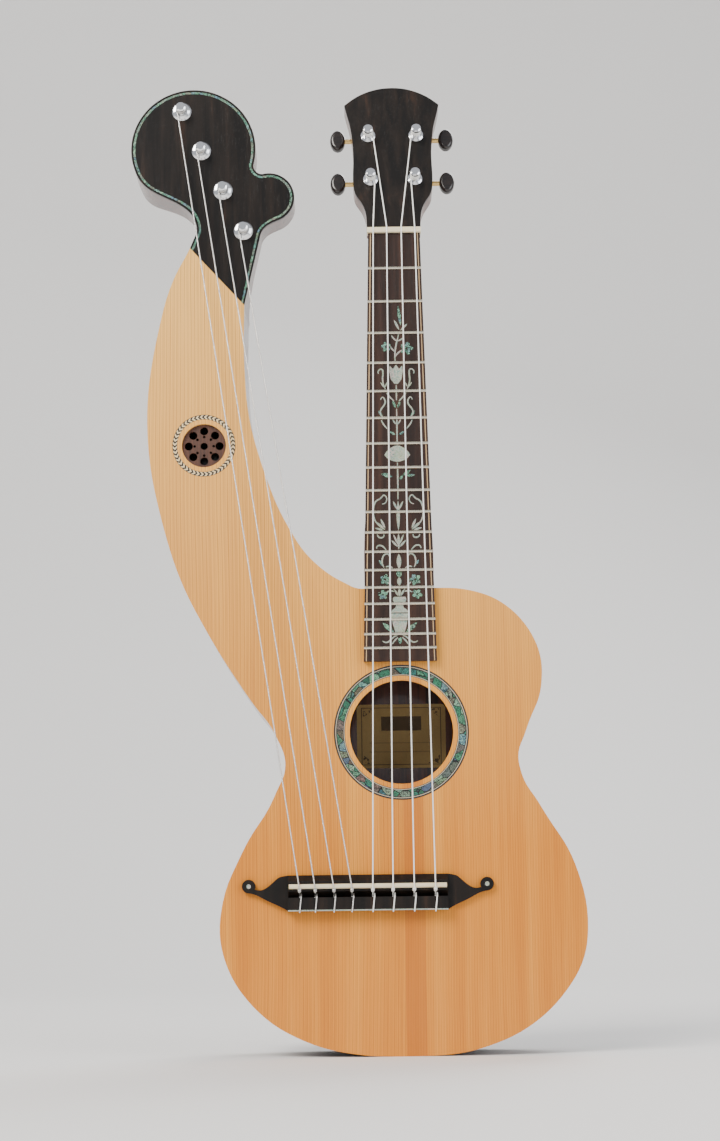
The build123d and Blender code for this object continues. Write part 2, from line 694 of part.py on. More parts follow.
with BuildPart() as fretboard:
    with BuildSketch(behind(0)):
        with BuildLine():
            Polyline(
                board_edge(0, nut_up),
                board_edge(0, fretboard_end_up),
                (-board_half(fretboard_end_up), fretboard_end_up),
                (-board_half(nut_up), nut_up),
                close=True,
            )
        make_face()
    extrude(amount=fretboard_t)
    for let_in in (fretboard_lines, pearl_inlay, abalone_inlay, fret_slots):
        add(let_in.part, mode=Mode.SUBTRACT)
save(fretboard, "fretboard")

# each fret: a domed crown on the board and a tang in its slot
with BuildPart() as frets:
    for up in fret_ups:
        with BuildSketch(Plane.YZ):
            with BuildLine():
                top = front_y - fretboard_t
                ThreePointArc((top, up - fret_w / 2), (top - fret_h, up), (top, up + fret_w / 2))
                Line((top, up + fret_w / 2), (top, up - fret_w / 2))
            make_face()
            with Locations((top + tang_h / 2, up)):
                Rectangle(tang_h, tang_w)
        extrude(amount=board_half(up), both=True)
save(frets, "frets")

# ---------------------------------------------------------------- strings' places
melody_nut_across = (-13.8, -4.8, 4.9, 13.9)
melody_saddle_across = (-19.9, -7.0, 6.5, 20.0)
bass_saddle_across = (-66.6, -56.6, -44.7, -33.2)
melody_at_nut = [Vector(x, front_y - nut_string_h, nut_up + nut_t / 2) for x in melody_nut_across]
string_y = front_y - saddle_string_h
melody_at_saddle = [Vector(x, string_y, saddle_up) for x in melody_saddle_across]
bass_at_saddle = [Vector(x, string_y, saddle_up) for x in bass_saddle_across]

nut_groove_r = string_r + 2 * string_gap
with BuildPart() as nut:
    with BuildSketch(behind(0)):
        with Locations((0, nut_up + nut_t / 2)):
            Rectangle(nut_w, nut_t)
    extrude(amount=nut_string_h + string_r / 2)
    outer_edges = nut.edges().group_by(Axis.Y)[0]
    fillet(outer_edges.filter_by(Axis.X), radius=0.8)
    for place in melody_at_nut:
        with BuildSketch(Plane.XY.offset(nut_up)):
            with Locations((place.X, place.Y)):
                Circle(nut_groove_r)
            with Locations((place.X, place.Y - string_r)):
                Rectangle(2 * nut_groove_r, 2 * string_r)
        extrude(amount=nut_t, mode=Mode.SUBTRACT)
save(nut, "nut")

# ---------------------------------------------------------------- bridge and saddle
bridge_tail_up = saddle_up - bridge_tail
bridge_front_up = saddle_up + bridge_front
tie_back = bridge_tail_up + 8.6  # front of the tie block, where the strings leave their holes
tie_hole_h, tie_hole_r = 4.4, 1.1
saddle_seat = 3.4  # floor of the saddle's slot above the soundboard
saddle_w = bridge_block_w - 1.5
scroll_across = bridge_middle - bridge_wing
pearl_dot_r, pearl_strip_t = 1.4, 0.8
scroll_up = saddle_up + 0.5
pearl_dots = ((scroll_across, scroll_up), (2 * bridge_middle - scroll_across, scroll_up))

with BuildPart() as bridge:
    # side profile of the block: ramp, saddle shelf, channel and tie block
    with BuildSketch(Plane.YZ.offset(bridge_middle)):
        with BuildLine():
            Polyline(
                (front_y, bridge_front_up),
                (front_y - wing_t, bridge_front_up),
                (front_y - bridge_h + 0.6, saddle_up + 3.4),
                (front_y - bridge_h + 0.6, saddle_up - 3.0),
                (front_y - tie_hole_h + 2 * tie_hole_r, tie_back),
                (front_y - bridge_h, tie_back),
                (front_y - bridge_h, bridge_tail_up),
                (front_y, bridge_tail_up),
                close=True,
            )
        make_face()
    extrude(amount=bridge_block_w / 2, both=True)
    # wings that run out to a round scroll
    with BuildSketch(behind(0)):
        with BuildLine():
            block_end = bridge_middle - bridge_block_w / 2
            Line((block_end, bridge_front_up), (block_end, bridge_tail_up))
            Spline(
                (block_end, bridge_tail_up),
                (block_end - 13.5, saddle_up - 8.6),
                (scroll_across, scroll_up - scroll_r),
                tangents=((-0.8, 0.6), (-1, 0.12)),
            )
            Line((scroll_across, scroll_up - scroll_r), (scroll_across + 3.2, saddle_up - 1.4))
            Spline(
                (scroll_across + 3.2, saddle_up - 1.4),
                (block_end - 17.6, saddle_up - 2.0),
                (block_end - 7.0, saddle_up + 5.2),
                (block_end, bridge_front_up),
                tangents=((1, -0.25), (1, 0.15)),
            )
        make_face()
        with Locations((scroll_across, scroll_up)):
            Circle(scroll_r)
        mirror(about=Plane.YZ.offset(bridge_middle))
    extrude(amount=wing_t)
    with BuildSketch(behind(-bridge_h)):
        with Locations((bridge_middle, saddle_up)):
            Rectangle(saddle_w, saddle_t)
    extrude(amount=saddle_seat - bridge_h, mode=Mode.SUBTRACT)
    # string holes through the tie block
    with BuildSketch(Plane.XY.offset(bridge_tail_up)):
        with Locations(*[(x, front_y - tie_hole_h) for x in melody_saddle_across + bass_saddle_across]):
            Circle(tie_hole_r)
    extrude(amount=tie_back - bridge_tail_up, mode=Mode.SUBTRACT)
    # seats for the pearl strip and dots
    with BuildSketch(behind(-bridge_h)):
        with Locations((bridge_middle, bridge_tail_up + pearl_strip_t / 2)):
            Rectangle(bridge_block_w, pearl_strip_t)
    extrude(amount=-pearl_strip_t, mode=Mode.SUBTRACT)
    with BuildSketch(behind(-wing_t)):
        with Locations(*pearl_dots):
            Circle(pearl_dot_r)
    extrude(amount=-inlay_t, mode=Mode.SUBTRACT)
save(bridge, "bridge")

with BuildPart() as bridge_pearl:
    with BuildSketch(behind(-bridge_h)):
        with Locations((bridge_middle, bridge_tail_up + pearl_strip_t / 2)):
            Rectangle(bridge_block_w, pearl_strip_t)
    extrude(amount=-pearl_strip_t)
    with BuildSketch(behind(-wing_t)):
        with Locations(*pearl_dots):
            Circle(pearl_dot_r)
    extrude(amount=-inlay_t)
save(bridge_pearl, "bridge_pearl")

saddle_top = saddle_string_h - string_r - string_gap
with BuildPart() as saddle:
    with BuildSketch(behind(-saddle_seat)):
        with Locations((bridge_middle, saddle_up)):
            Rectangle(saddle_w, saddle_t)
    extrude(amount=saddle_top - saddle_seat)
    fillet(saddle.edges().group_by(Axis.Y)[0].filter_by(Axis.X), radius=saddle_t * 0.4)
save(saddle, "saddle")

# ---------------------------------------------------------------- bass head at the end of the arm
lobe_middle = Vector(-83.6, 566.6)
head_middle = Vector(-134.5, 601.0)
drawn_tip = (-136.8, 531.9)  # outer tip of the arm that the head's outline is drawn for
head_offset = Vector(tip_outer[0] - drawn_tip[0], tip_outer[1] - drawn_tip[1])


def on_head(across, up):
    """Point of the bass head, which keeps its shape and follows the arm's tip."""
    return Vector(across, up) + head_offset


def draw_bass_head(inset):
    """Outline of the bass head, this far inside its edge: a round plate with a lobe and a waist."""
    circle = arm_head_r - inset
    lobe = lobe_r - inset
    hub, knob = head_middle + head_offset, lobe_middle + head_offset
    leave = hub + Vector(circle, 0).rotate(Axis.Z, 206)
    top = hub + Vector(0, circle)
    arrive = hub + Vector(circle, 0).rotate(Axis.Z, -15)
    lobe_on = knob + Vector(lobe, 0).rotate(Axis.Z, 103)
    lobe_far = knob + Vector(lobe, 0).rotate(Axis.Z, 12)
    lobe_off = knob + Vector(lobe, 0).rotate(Axis.Z, -68)
    waist = on_head(-132.2 + inset, 543.0)
    elbow = on_head(-89.4 - inset, 541.0)
    end_line = Vector(tip_inner[0] - tip_outer[0], tip_inner[1] - tip_outer[1]).normalized()
    foot_outer = Vector(*tip_outer) + end_line * inset
    foot_inner = Vector(*tip_inner) - end_line * inset
    Line(foot_outer, waist)
    shoulder = on_head(-141.5 + 0.6 * inset, 560.8 + 0.8 * inset)
    Spline(waist, shoulder, leave, tangents=((0.05, 1), Vector(0, 1).rotate(Axis.Z, 26)))
    ThreePointArc(leave, top, arrive)
    Spline(arrive, lobe_on, tangents=(Vector(0, -1).rotate(Axis.Z, -15), Vector(1, 0).rotate(Axis.Z, 13)))
    ThreePointArc(lobe_on, lobe_far, lobe_off)
    Spline(lobe_off, elbow, tangents=(Vector(-1, 0).rotate(Axis.Z, 22), (-0.28, -0.96)))
    Line(elbow, foot_inner)
    Line(foot_inner, foot_outer)


bass_pegs = [(-142.3, 627.7), (-129.1, 599.8), (-114.6, 571.8), (-100.9, 543.5)]
peg_spots = [on_head(*place) for place in bass_pegs]
with BuildSketch() as bass_head:
    with BuildLine():
        draw_bass_head(0)
    make_face()
with BuildSketch() as bass_line:
    with BuildLine():
        draw_bass_head(purfling_inset)
    make_face()
    with BuildLine():
        draw_bass_head(purfling_inset + purfling_w)
    make_face(mode=Mode.SUBTRACT)

swoop_start, swoop_end = 2.5, 25.0  # away from the arm's end
side_plane = Plane(origin=(tip_mid[0], front_y, tip_mid[1]), x_dir=away, z_dir=along)
with BuildPart() as arm_head:
    with BuildSketch(behind(arm_plate_t)):
        add(bass_head.sketch)
    extrude(amount=-full)
    cut_behind(0)
    # the back sweeps up from the depth of the arm to the thin head
    with BuildSketch(side_plane):
        with BuildLine():
            far = 3 * arm_head_r
            low = -arm_depth - 10
            EllipticalCenterArc(
                (swoop_end, -arm_depth), swoop_end - swoop_start, arm_depth - arm_head_t,
                start_angle=90, arc_size=90,
            )
            Line((swoop_start, -arm_depth), (swoop_start, low))
            Line((swoop_start, low), (far, low))
            Line((far, low), (far, -arm_head_t))
            Line((far, -arm_head_t), (swoop_end, -arm_head_t))
        make_face()
    extrude(amount=3 * arm_head_r, both=True, mode=Mode.SUBTRACT)
    # tenon through the wall that closes the arm
    with BuildSketch(end_plane):
        with Locations((top_t + tenon_margin + tenon_d / 2, 0)):
            Rectangle(tenon_d, tenon_w)
    extrude(amount=-tenon_l)
    with BuildSketch(behind(arm_plate_t)):
        with Locations(*peg_spots):
            Circle(bushing_r)
    extrude(amount=-arm_head_t, mode=Mode.SUBTRACT)
save(arm_head, "arm_head")

with BuildPart() as arm_head_plate:
    with BuildSketch(behind(arm_plate_t)):
        add(bass_head.sketch)
        with Locations(*peg_spots):
            Circle(bushing_r, mode=Mode.SUBTRACT)
    extrude(amount=arm_plate_t)
    with BuildSketch(behind(0)):
        add(bass_line.sketch)
    extrude(amount=-inlay_t, mode=Mode.SUBTRACT)
save(arm_head_plate, "arm_head_plate")

with BuildPart() as arm_head_purfling:
    with BuildSketch(behind(0)):
        add(bass_line.sketch)
    extrude(amount=-inlay_t)
save(arm_head_purfling, "arm_head_purfling")

# ---------------------------------------------------------------- posts and what carries them
waist_r, cap_r, string_hole_r = 2.2, 3.2, 0.6
waist_low, waist_high = 4.0, 7.6  # above the plate
wind_gap = 0.3  # between a wound string and the waist of its post
wind_turns = 4
bore_r = post_r + post_fit
ferrule_r, ferrule_t, ferrule_l = 6.0, 1.5, 6.0
sleeve_l = 10.0
peg_gap = 0.3  # behind the ferrule
peg_grip = 9.0  # post inside its button
post_head = [
    (post_r, waist_low - 0.4), (waist_r, waist_low), (waist_r, waist_high), (post_r, waist_high + 0.4),
    (cap_r, waist_high + 0.7), (cap_r, post_rise - 0.5), (cap_r - 0.9, post_rise), (0, post_rise),
]


def turn(*profile):
    """Turn the part about the Z axis from a half profile of (radius, height) points."""
    revolve(Face(Wire.make_polygon([(radius, 0, height) for radius, height in profile])), axis=Axis.Z)


def bore_across(radius, height):
    """Drill across the axis of a post."""
    with Locations(Location((0, 0, height), (90, 0, 0))):
        Cylinder(radius, 4 * post_r, mode=Mode.SUBTRACT)


def peg_plane(place):
    """Plane on the face of the bass head at a peg, facing the listener."""
    return Plane(origin=(place.X, front_y, place.Y), x_dir=(1, 0, 0), z_dir=(0, -1, 0))


with BuildPart() as peg_bushing:
    turn(
        (bore_r, -sleeve_l), (bushing_r, -sleeve_l), (bushing_r, 0), (flange_r, 0), (flange_r, 0.6),
        (0.86 * flange_r, 0.7 * flange_t), (bore_r + 0.9, flange_t), (bore_r, flange_t),
    )
    ferrule_top = ferrule_l - arm_head_t
    turn(
        (bore_r, ferrule_top), (bushing_r, ferrule_top), (bushing_r, -arm_head_t), (ferrule_r, -arm_head_t),
        (ferrule_r, -arm_head_t - 0.6 * ferrule_t), (bore_r + 1.2, -arm_head_t - ferrule_t),
        (bore_r, -arm_head_t - ferrule_t),
    )

with BuildPart() as arm_peg_bushings:
    for place in peg_spots:
        add(peg_plane(place).location * peg_bushing.part)
save(arm_peg_bushings, "arm_peg_bushings")

peg_top = -(arm_head_t + ferrule_t + peg_gap)
with BuildPart() as bass_post:
    turn((0, peg_top - peg_grip), (post_r, peg_top - peg_grip), *post_head)
    bore_across(string_hole_r, (waist_low + waist_high) / 2)

paddle_w, paddle_h, paddle_t, paddle_neck = 15.0, 13.5, 6.4, 4.0
with BuildPart() as bass_button:
    turn(
        (0, peg_top), (3.9, peg_top), (4.6, peg_top - 0.8), (4.6, peg_top - 2.2),
        (3.1, peg_top - paddle_neck), (3.1, peg_top - paddle_neck - paddle_h / 2),
        (0, peg_top - paddle_neck - paddle_h / 2),
    )
    with BuildPart(mode=Mode.ADD):
        with BuildSketch(Plane.XZ):
            with Locations((0, peg_top - paddle_neck - paddle_h / 2)):
                Ellipse(paddle_w / 2, paddle_h / 2)
        extrude(amount=paddle_t / 2, both=True)
        rims = edges().filter_by(GeomType.ELLIPSE)
        fillet(rims, radius=0.36 * paddle_t)
    with BuildSketch(Plane.XY.offset(peg_top)):
        Circle(post_r)
    extrude(amount=-peg_grip, mode=Mode.SUBTRACT)

for number, place in enumerate(peg_spots, 1):
    with BuildPart() as arm_post:
        add(peg_plane(place).location * bass_post.part)
    save(arm_post, f"arm_post_{number}")
    with BuildPart() as arm_button:
        add(peg_plane(place).location * bass_button.part)
    save(arm_button, f"arm_button_{number}")

# ---------------------------------------------------------------- geared tuners of the headstock
gear_r = gear_teeth * gear_module / 2
worm_pitch = pi * gear_module
tooth_half = (worm_pitch - gear_backlash) / 4
addendum, dedendum = 0.8 * gear_module, 1.15 * gear_module
flank = tan(radians(tooth_flank))
worm_up = gear_r + worm_pitch_r  # along the head, from the post
plate_back = -head_plate_t - head_t - tuner_plate_t  # heights are from the face of the head plate
gear_mid = plate_back - worm_pitch_r - addendum - 0.3
plate_half, plate_low, plate_high = 7.0, -10.7, 15.7
ear_in, ear_t, ear_half = 4.4, 1.6, 2.9
shaft_bore = shaft_r + shaft_fit
post_foot = gear_mid - gear_t / 2 - 0.8


def tuner_plane(across, up):
    """Plane on the face of the head plate at a tuner, facing the listener."""
    corner = head_plane.from_local_coords((across, up, head_plate_t))
    return Plane(origin=corner, x_dir=(1, 0, 0), z_dir=head_plane.z_dir)


def worm_plane(across, up):
    """Plane square to a worm's axis, level with its post, with x towards the post."""
    middle = tuner_plane(across, up).from_local_coords((0, worm_up, gear_mid))
    return Plane(origin=middle, x_dir=-head_plane.y_dir, z_dir=(1, 0, 0))


with BuildPart() as tuner_plate:
    with BuildSketch(Plane.XY.offset(plate_back)):
        with Locations((0, (plate_low + plate_high) / 2)):
            RectangleRounded(2 * plate_half, plate_high - plate_low, 2.5)
    extrude(amount=tuner_plate_t)
    # two ears that carry the worm
    with BuildSketch(Plane.YZ) as ear:
        with Locations((worm_up, gear_mid)):
            Circle(ear_half)
        with Locations((worm_up, (gear_mid + plate_back) / 2)):
            Rectangle(2 * ear_half, plate_back - gear_mid)
    for side in (-1, 1):
        extrude(Pos(side * ear_in, 0, 0) * ear.sketch, amount=side * ear_t)
    with BuildSketch(Plane.YZ):
        with Locations((worm_up, gear_mid)):
            Circle(shaft_bore)
    extrude(amount=plate_half, both=True, mode=Mode.SUBTRACT)
    with BuildSketch(Plane.XY.offset(plate_back)):
        Circle(bore_r)
        with Locations((0, screw_low), (0, screw_high)):
            Circle(screw_r)
    extrude(amount=tuner_plate_t, mode=Mode.SUBTRACT)

with BuildPart() as tuner_plates:
    for spot_at in tuner_spots:
        add(tuner_plane(*spot_at).location * tuner_plate.part)
save(tuner_plates, "tuner_plates")

head_flange_r, head_flange_t = 4.9, 1.4
with BuildPart() as head_bushing:
    turn(
        (bore_r, plate_back + tuner_plate_t), (bushing_r, plate_back + tuner_plate_t), (bushing_r, 0),
        (head_flange_r, 0), (head_flange_r, 0.5 * head_flange_t), (bore_r + 0.6, head_flange_t),
        (bore_r, head_flange_t),
    )

with BuildPart() as tuner_bushings:
    for spot_at in tuner_spots:
        add(tuner_plane(*spot_at).location * head_bushing.part)
save(tuner_bushings, "tuner_bushings")

with BuildPart() as tuner_screw:
    turn(
        (0, plate_back + tuner_plate_t + screw_l), (screw_r, plate_back + tuner_plate_t + screw_l),
        (screw_r, plate_back), (screw_head_r, plate_back), (screw_head_r, plate_back - 0.4 * screw_head_t),
        (0.5 * screw_head_r, plate_back - screw_head_t), (0, plate_back - screw_head_t),
    )

with BuildPart() as tuner_screws:
    for spot_at in screw_spots:
        add(tuner_plane(*spot_at).location * tuner_screw.part)
save(tuner_screws, "tuner_screws")

# a post with its gear wheel, one tooth towards the worm
with BuildPart() as geared_post:
    turn((0, post_foot), (post_r, post_foot), *post_head)
    with BuildSketch(Plane.XY.offset(gear_mid - gear_t / 2)):
        Circle(gear_r - dedendum)
        with PolarLocations(0, gear_teeth, start_angle=90):
            Polygon(
                (gear_r - 2 * dedendum, tooth_half + dedendum * flank),
                (gear_r - dedendum, tooth_half + dedendum * flank),
                (gear_r + addendum, tooth_half - addendum * flank),
                (gear_r + addendum, -tooth_half + addendum * flank),
                (gear_r - dedendum, -tooth_half - dedendum * flank),
                (gear_r - 2 * dedendum, -tooth_half - dedendum * flank),
                align=None,
            )
    extrude(amount=gear_t)
    with BuildSketch(Plane.XY.offset(gear_mid)):
        Circle(1.15 * post_r)
    extrude(amount=plate_back - 2 * post_fit - gear_mid)
    bore_across(string_hole_r, (waist_low + waist_high) / 2)

worm_root = worm_pitch_r - dedendum
thread_foot = worm_root - 0.15
with BuildPart() as worm_thread:
    with BuildLine(Plane.XY.offset(-worm_turns * worm_pitch / 2)) as thread_path:
        Helix(pitch=worm_pitch, height=worm_turns * worm_pitch, radius=worm_pitch_r)
    with BuildSketch(Plane(origin=thread_path.line @ 0, x_dir=(1, 0, 0), z_dir=thread_path.line % 0)):
        root_half = tooth_half + (worm_pitch_r - thread_foot) * flank
        Polygon(
            (thread_foot - worm_pitch_r, -root_half),
            (addendum, -tooth_half + addendum * flank),
            (addendum, tooth_half - addendum * flank),
            (thread_foot - worm_pitch_r, root_half),
            align=None,
        )
    sweep(path=thread_path.line, is_frenet=True)

button_half, button_long, button_t = 7.8, 10.4, 6.5
shaft_grip = 6.0
for number, (across, up) in enumerate(tuner_spots, 1):
    side = 1 if across > 0 else -1
    square = worm_plane(across, up)
    shaft_in = -side * (ear_in + ear_t + 0.6)
    shaft_out = side * (tuner_reach + shaft_grip) - across
    with BuildPart() as tuner_worm:
        with BuildSketch(square.offset(shaft_in)):
            Circle(shaft_r)
        extrude(amount=shaft_out - shaft_in)
        add(square.location * worm_thread.part)
    save(tuner_worm, f"tuner_worm_{number}")
    with BuildPart() as tuner_button:
        button_mid = square.offset(side * (tuner_reach + button_long / 2) - across).origin
        with BuildSketch(Plane(origin=button_mid, x_dir=(1, 0, 0), z_dir=head_plane.z_dir)):
            Ellipse(button_long / 2, button_half)
        extrude(amount=button_t / 2, both=True)
        fillet(edges().filter_by(GeomType.ELLIPSE), radius=0.36 * button_t)
        with BuildSketch(square.offset(side * tuner_reach - across)):
            Circle(shaft_r)
        extrude(amount=side * shaft_grip, mode=Mode.SUBTRACT)
    save(tuner_button, f"tuner_button_{number}")
    with BuildPart() as tuner_post:
        add(tuner_plane(across, up).location * geared_post.part)
    save(tuner_post, f"tuner_post_{number}")

# ---------------------------------------------------------------- strings, with their windings and ties
wound_r = 1.04 * string_r  # a little fuller where it winds or bends
wind_r = waist_r + wind_gap + wound_r
wind_pitch = 1.8 * string_r
wind_low = waist_low + string_r + 0.15
with BuildPart() as winding:
    with BuildSketch(Plane.XZ):
        with Locations(*[(wind_r, wind_low + turn_count * wind_pitch) for turn_count in range(wind_turns)]):
            Circle(wound_r)
    revolve(axis=Axis.Z)


def strand(*points):
    """Run a round string straight from point to point, with its corners rounded off."""
    path = Wire.make_polygon(points, close=False)
    add(Solid.sweep(Wire.make_circle(string_r, Plane(origin=points[0], z_dir=points[1] - points[0])),
                    path, transition=Transition.ROUND))


def string_end(post, toward, side):
    """Where a string leaves the winding on a post's plane, on this side of the post."""
    aim = post.to_local_coords(toward)
    aim = Vector(aim.X, aim.Y)
    half_turn = acos(wind_r / aim.length)
    leave = (aim.normalized() * wind_r).rotate(Axis.Z, side * degrees(half_turn))
    return post.from_local_coords((leave.X, leave.Y, wind_low))


def tie(place):
    """Points of a string from the saddle to its tie round the back of the bridge."""
    over = front_y - bridge_h - string_r - 0.1
    through = front_y - tie_hole_h
    past = 1.6 * string_r
    beside = place.X + 2.4 * string_r
    return (
        Vector(place.X, place.Y, saddle_up - 0.4 * saddle_t),
        Vector(place.X, through, tie_back + past),
        Vector(place.X, through, bridge_tail_up - past),
        Vector(place.X, over, bridge_tail_up - past),
        Vector(beside, over, tie_back + past),
        Vector(beside, front_y - 0.8 * bridge_h, tie_back + 3 * past),
    )


melody_posts = [tuner_spots[i] for i in (0, 2, 3, 1)]
for number, (spot_at, at_nut, at_saddle) in enumerate(zip(melody_posts, melody_at_nut, melody_at_saddle), 1):
    post = tuner_plane(*spot_at)
    past_nut = at_nut + Vector(0, 0, nut_t / 2 + 10 * string_gap)
    side = 1 if spot_at[0] < 0 else -1
    with BuildPart() as melody_string:
        strand(string_end(post, past_nut, side), past_nut, *tie(at_saddle))
        add(post.location * winding.part)
    save(melody_string, f"melody_string_{number}")

for number, (place, at_saddle) in enumerate(zip(peg_spots, bass_at_saddle), 1):
    post = peg_plane(place)
    with BuildPart() as bass_string:
        strand(string_end(post, at_saddle, -1), *tie(at_saddle))
        add(post.location * winding.part)
    save(bass_string, f"bass_string_{number}")
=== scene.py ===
import bpy
import json
from math import cos, pi, radians, sin
from mathutils import Matrix, Vector


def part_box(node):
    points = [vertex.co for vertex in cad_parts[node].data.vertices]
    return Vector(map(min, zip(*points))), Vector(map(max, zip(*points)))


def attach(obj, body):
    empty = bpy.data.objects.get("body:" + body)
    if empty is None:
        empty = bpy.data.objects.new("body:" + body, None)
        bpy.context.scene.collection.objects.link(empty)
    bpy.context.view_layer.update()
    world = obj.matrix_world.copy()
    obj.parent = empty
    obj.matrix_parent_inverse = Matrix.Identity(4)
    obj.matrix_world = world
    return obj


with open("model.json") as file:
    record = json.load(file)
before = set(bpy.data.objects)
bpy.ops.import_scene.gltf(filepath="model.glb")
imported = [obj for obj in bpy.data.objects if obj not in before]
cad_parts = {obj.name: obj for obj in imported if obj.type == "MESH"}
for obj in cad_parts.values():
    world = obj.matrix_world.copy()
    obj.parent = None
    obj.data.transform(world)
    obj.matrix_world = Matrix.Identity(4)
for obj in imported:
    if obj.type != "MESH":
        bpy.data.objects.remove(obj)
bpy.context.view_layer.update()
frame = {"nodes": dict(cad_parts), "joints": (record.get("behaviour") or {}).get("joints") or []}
nodes = frame["nodes"]

# ------------------------------------------------------------------ camera
# The camera stands in front and a little below the middle of the instrument, and looks up its
# length, turned a hair to one side.
bpy.ops.object.camera_add(location=(-0.0255, -1.4474, 0.0879), rotation=(radians(99.0), 0, 0))
camera = bpy.context.active_object
camera.name = "camera"
camera.rotation_euler.rotate_axis("Z", radians(-0.728))
camera.data.lens = 68.9
camera.data.sensor_width = 36
camera.data.clip_start = 0.05
camera.data.clip_end = 60
bpy.context.scene.camera = camera


# ------------------------------------------------------------------ floor and light
# A plain pale studio floor that turns up into a wall behind, lit by large soft boxes: the main one
# high on the bass side, a weaker one on the treble side, one behind, and an even room around.
floor_size, wall_starts, wall_height, wall_bend = (14, 9, 1), 2.4, 6, 1.2


class Shade:
    """One socket of a finish, so that its pattern can be written as arithmetic."""

    def __init__(self, tree, socket):
        self.tree = tree
        self.socket = socket

    def node(self, kind, settings, values, out=0):
        """Add a node with its settings and its sockets' values or links, and give one of its outputs."""
        made = self.tree.nodes.new(kind)
        for name, setting in settings.items():
            if name == "stops":
                ramp = made.color_ramp
                for spot, _ in setting[1:-1]:
                    ramp.elements.new(spot)
                ramp.elements[-1].position = setting[-1][0]
                ramp.elements[0].position = setting[0][0]
                for element, (_, tint) in zip(ramp.elements, setting):
                    element.color = (*tint, 1)
            else:
                setattr(made, name, setting)
        for name, value in values.items():
            if isinstance(value, Shade):
                self.tree.links.new(value.socket, made.inputs[name])
            else:
                made.inputs[name].default_value = value
        return Shade(self.tree, made.outputs[out])

    def maths(self, operation, *others):
        return self.node("ShaderNodeMath", {"operation": operation}, dict(enumerate((self, *others))))

    def __add__(self, other):
        return self.maths("ADD", other)

    def __radd__(self, other):
        return self.maths("ADD", other)

    def __sub__(self, other):
        return self.maths("SUBTRACT", other)

    def __rsub__(self, other):
        return (self * -1) + other

    def __mul__(self, other):
        return self.maths("MULTIPLY", other)

    def __rmul__(self, other):
        return self.maths("MULTIPLY", other)

    def __truediv__(self, other):
        return self.maths("DIVIDE", other)

    def __gt__(self, other):
        return self.maths("GREATER_THAN", other)

    def __lt__(self, other):
        return self.maths("LESS_THAN", other)

    def mixed(self, low, high):
        """A colour that runs from low to high as this socket goes from 0 to 1."""
        made = self.tree.nodes.new("ShaderNodeMix")
        made.data_type = "RGBA"
        self.tree.links.new(self.socket, made.inputs[0])
        for number, tint in ((6, low), (7, high)):
            if isinstance(tint, Shade):
                self.tree.links.new(tint.socket, made.inputs[number])
            else:
                made.inputs[number].default_value = (*tint, 1)
        return Shade(self.tree, made.outputs[2])

    def axes(self):
        """The three numbers of a place."""
        return [self.node("ShaderNodeSeparateXYZ", {}, {0: self}, out=i) for i in range(3)]

    def placed(self, x, y, z):
        """A place made of three numbers."""
        return self.node("ShaderNodeCombineXYZ", {}, {0: x, 1: y, 2: z})

    def noise(self, scale, detail=4.0, rough=0.55, turn=0.0):
        values = {"Vector": self, "Scale": scale, "Detail": detail, "Roughness": rough, "Distortion": turn}
        return self.node("ShaderNodeTexNoise", {}, values)


def new_finish(name, **fixed):
    """A new finish on a plain surface shader, with fixed values, and its place in the instrument."""
    finish = bpy.data.materials.new(name)
    finish.use_nodes = True
    surface = finish.node_tree.nodes["Principled BSDF"]
    for socket, value in fixed.items():
        surface.inputs[socket.replace("_", " ")].default_value = value
    place = finish.node_tree.nodes.new("ShaderNodeTexCoord")
    return finish, surface, Shade(finish.node_tree, place.outputs["Object"])


def feed(surface, **links):
    """Feed the surface's sockets, with a height going through a bump."""
    for name, value in links.items():
        if name == "height":
            bump = value.node("ShaderNodeBump", {}, {"Height": value, "Strength": 0.35, "Distance": 0.0002})
            value.tree.links.new(bump.socket, surface.inputs["Normal"])
        else:
            value.tree.links.new(value.socket, surface.inputs[name.replace("_", " ")])


def dress(finish, *names):
    """Give CAD pieces their finish."""
    for name in names:
        nodes[name].data.materials.clear()
        nodes[name].data.materials.append(finish)


floor_finish, surface, place = new_finish("studio_floor", Roughness=0.75)
cloudy = place.noise(1.3, detail=2)
feed(surface, Base_Color=cloudy.mixed((0.80, 0.79, 0.77), (0.85, 0.84, 0.825)))

bpy.ops.object.select_all(action="DESELECT")
bpy.ops.mesh.primitive_plane_add(size=1, location=(0, 0, 0))
floor = bpy.context.active_object
floor.name = "studio_floor"
bpy.ops.object.mode_set(mode="EDIT")
bpy.ops.transform.resize(value=floor_size)
bpy.ops.transform.translate(value=(0, -2.0, 0))
bpy.ops.mesh.select_mode(type="EDGE")
bpy.ops.object.mode_set(mode="OBJECT")
for edge in floor.data.edges:
    ends = [floor.data.vertices[i].co for i in edge.vertices]
    edge.select = all(end.y > wall_starts for end in ends)
for corner in floor.data.vertices:
    corner.select = corner.co.y > wall_starts
for face in floor.data.polygons:
    face.select = False
bpy.ops.object.mode_set(mode="EDIT")
bpy.ops.mesh.extrude_region_move(TRANSFORM_OT_translate={"value": (0, 0, wall_height)})
bpy.ops.object.mode_set(mode="OBJECT")
for corner in floor.data.vertices:
    corner.select = corner.co.y > wall_starts and corner.co.z < 0.1
for edge in floor.data.edges:
    edge.select = all(floor.data.vertices[i].select for i in edge.vertices)
bpy.ops.object.mode_set(mode="EDIT")
bpy.ops.mesh.bevel(offset=wall_bend, segments=12, affect="EDGES")
bpy.ops.object.mode_set(mode="OBJECT")
bpy.ops.object.shade_smooth()
floor.data.materials.append(floor_finish)

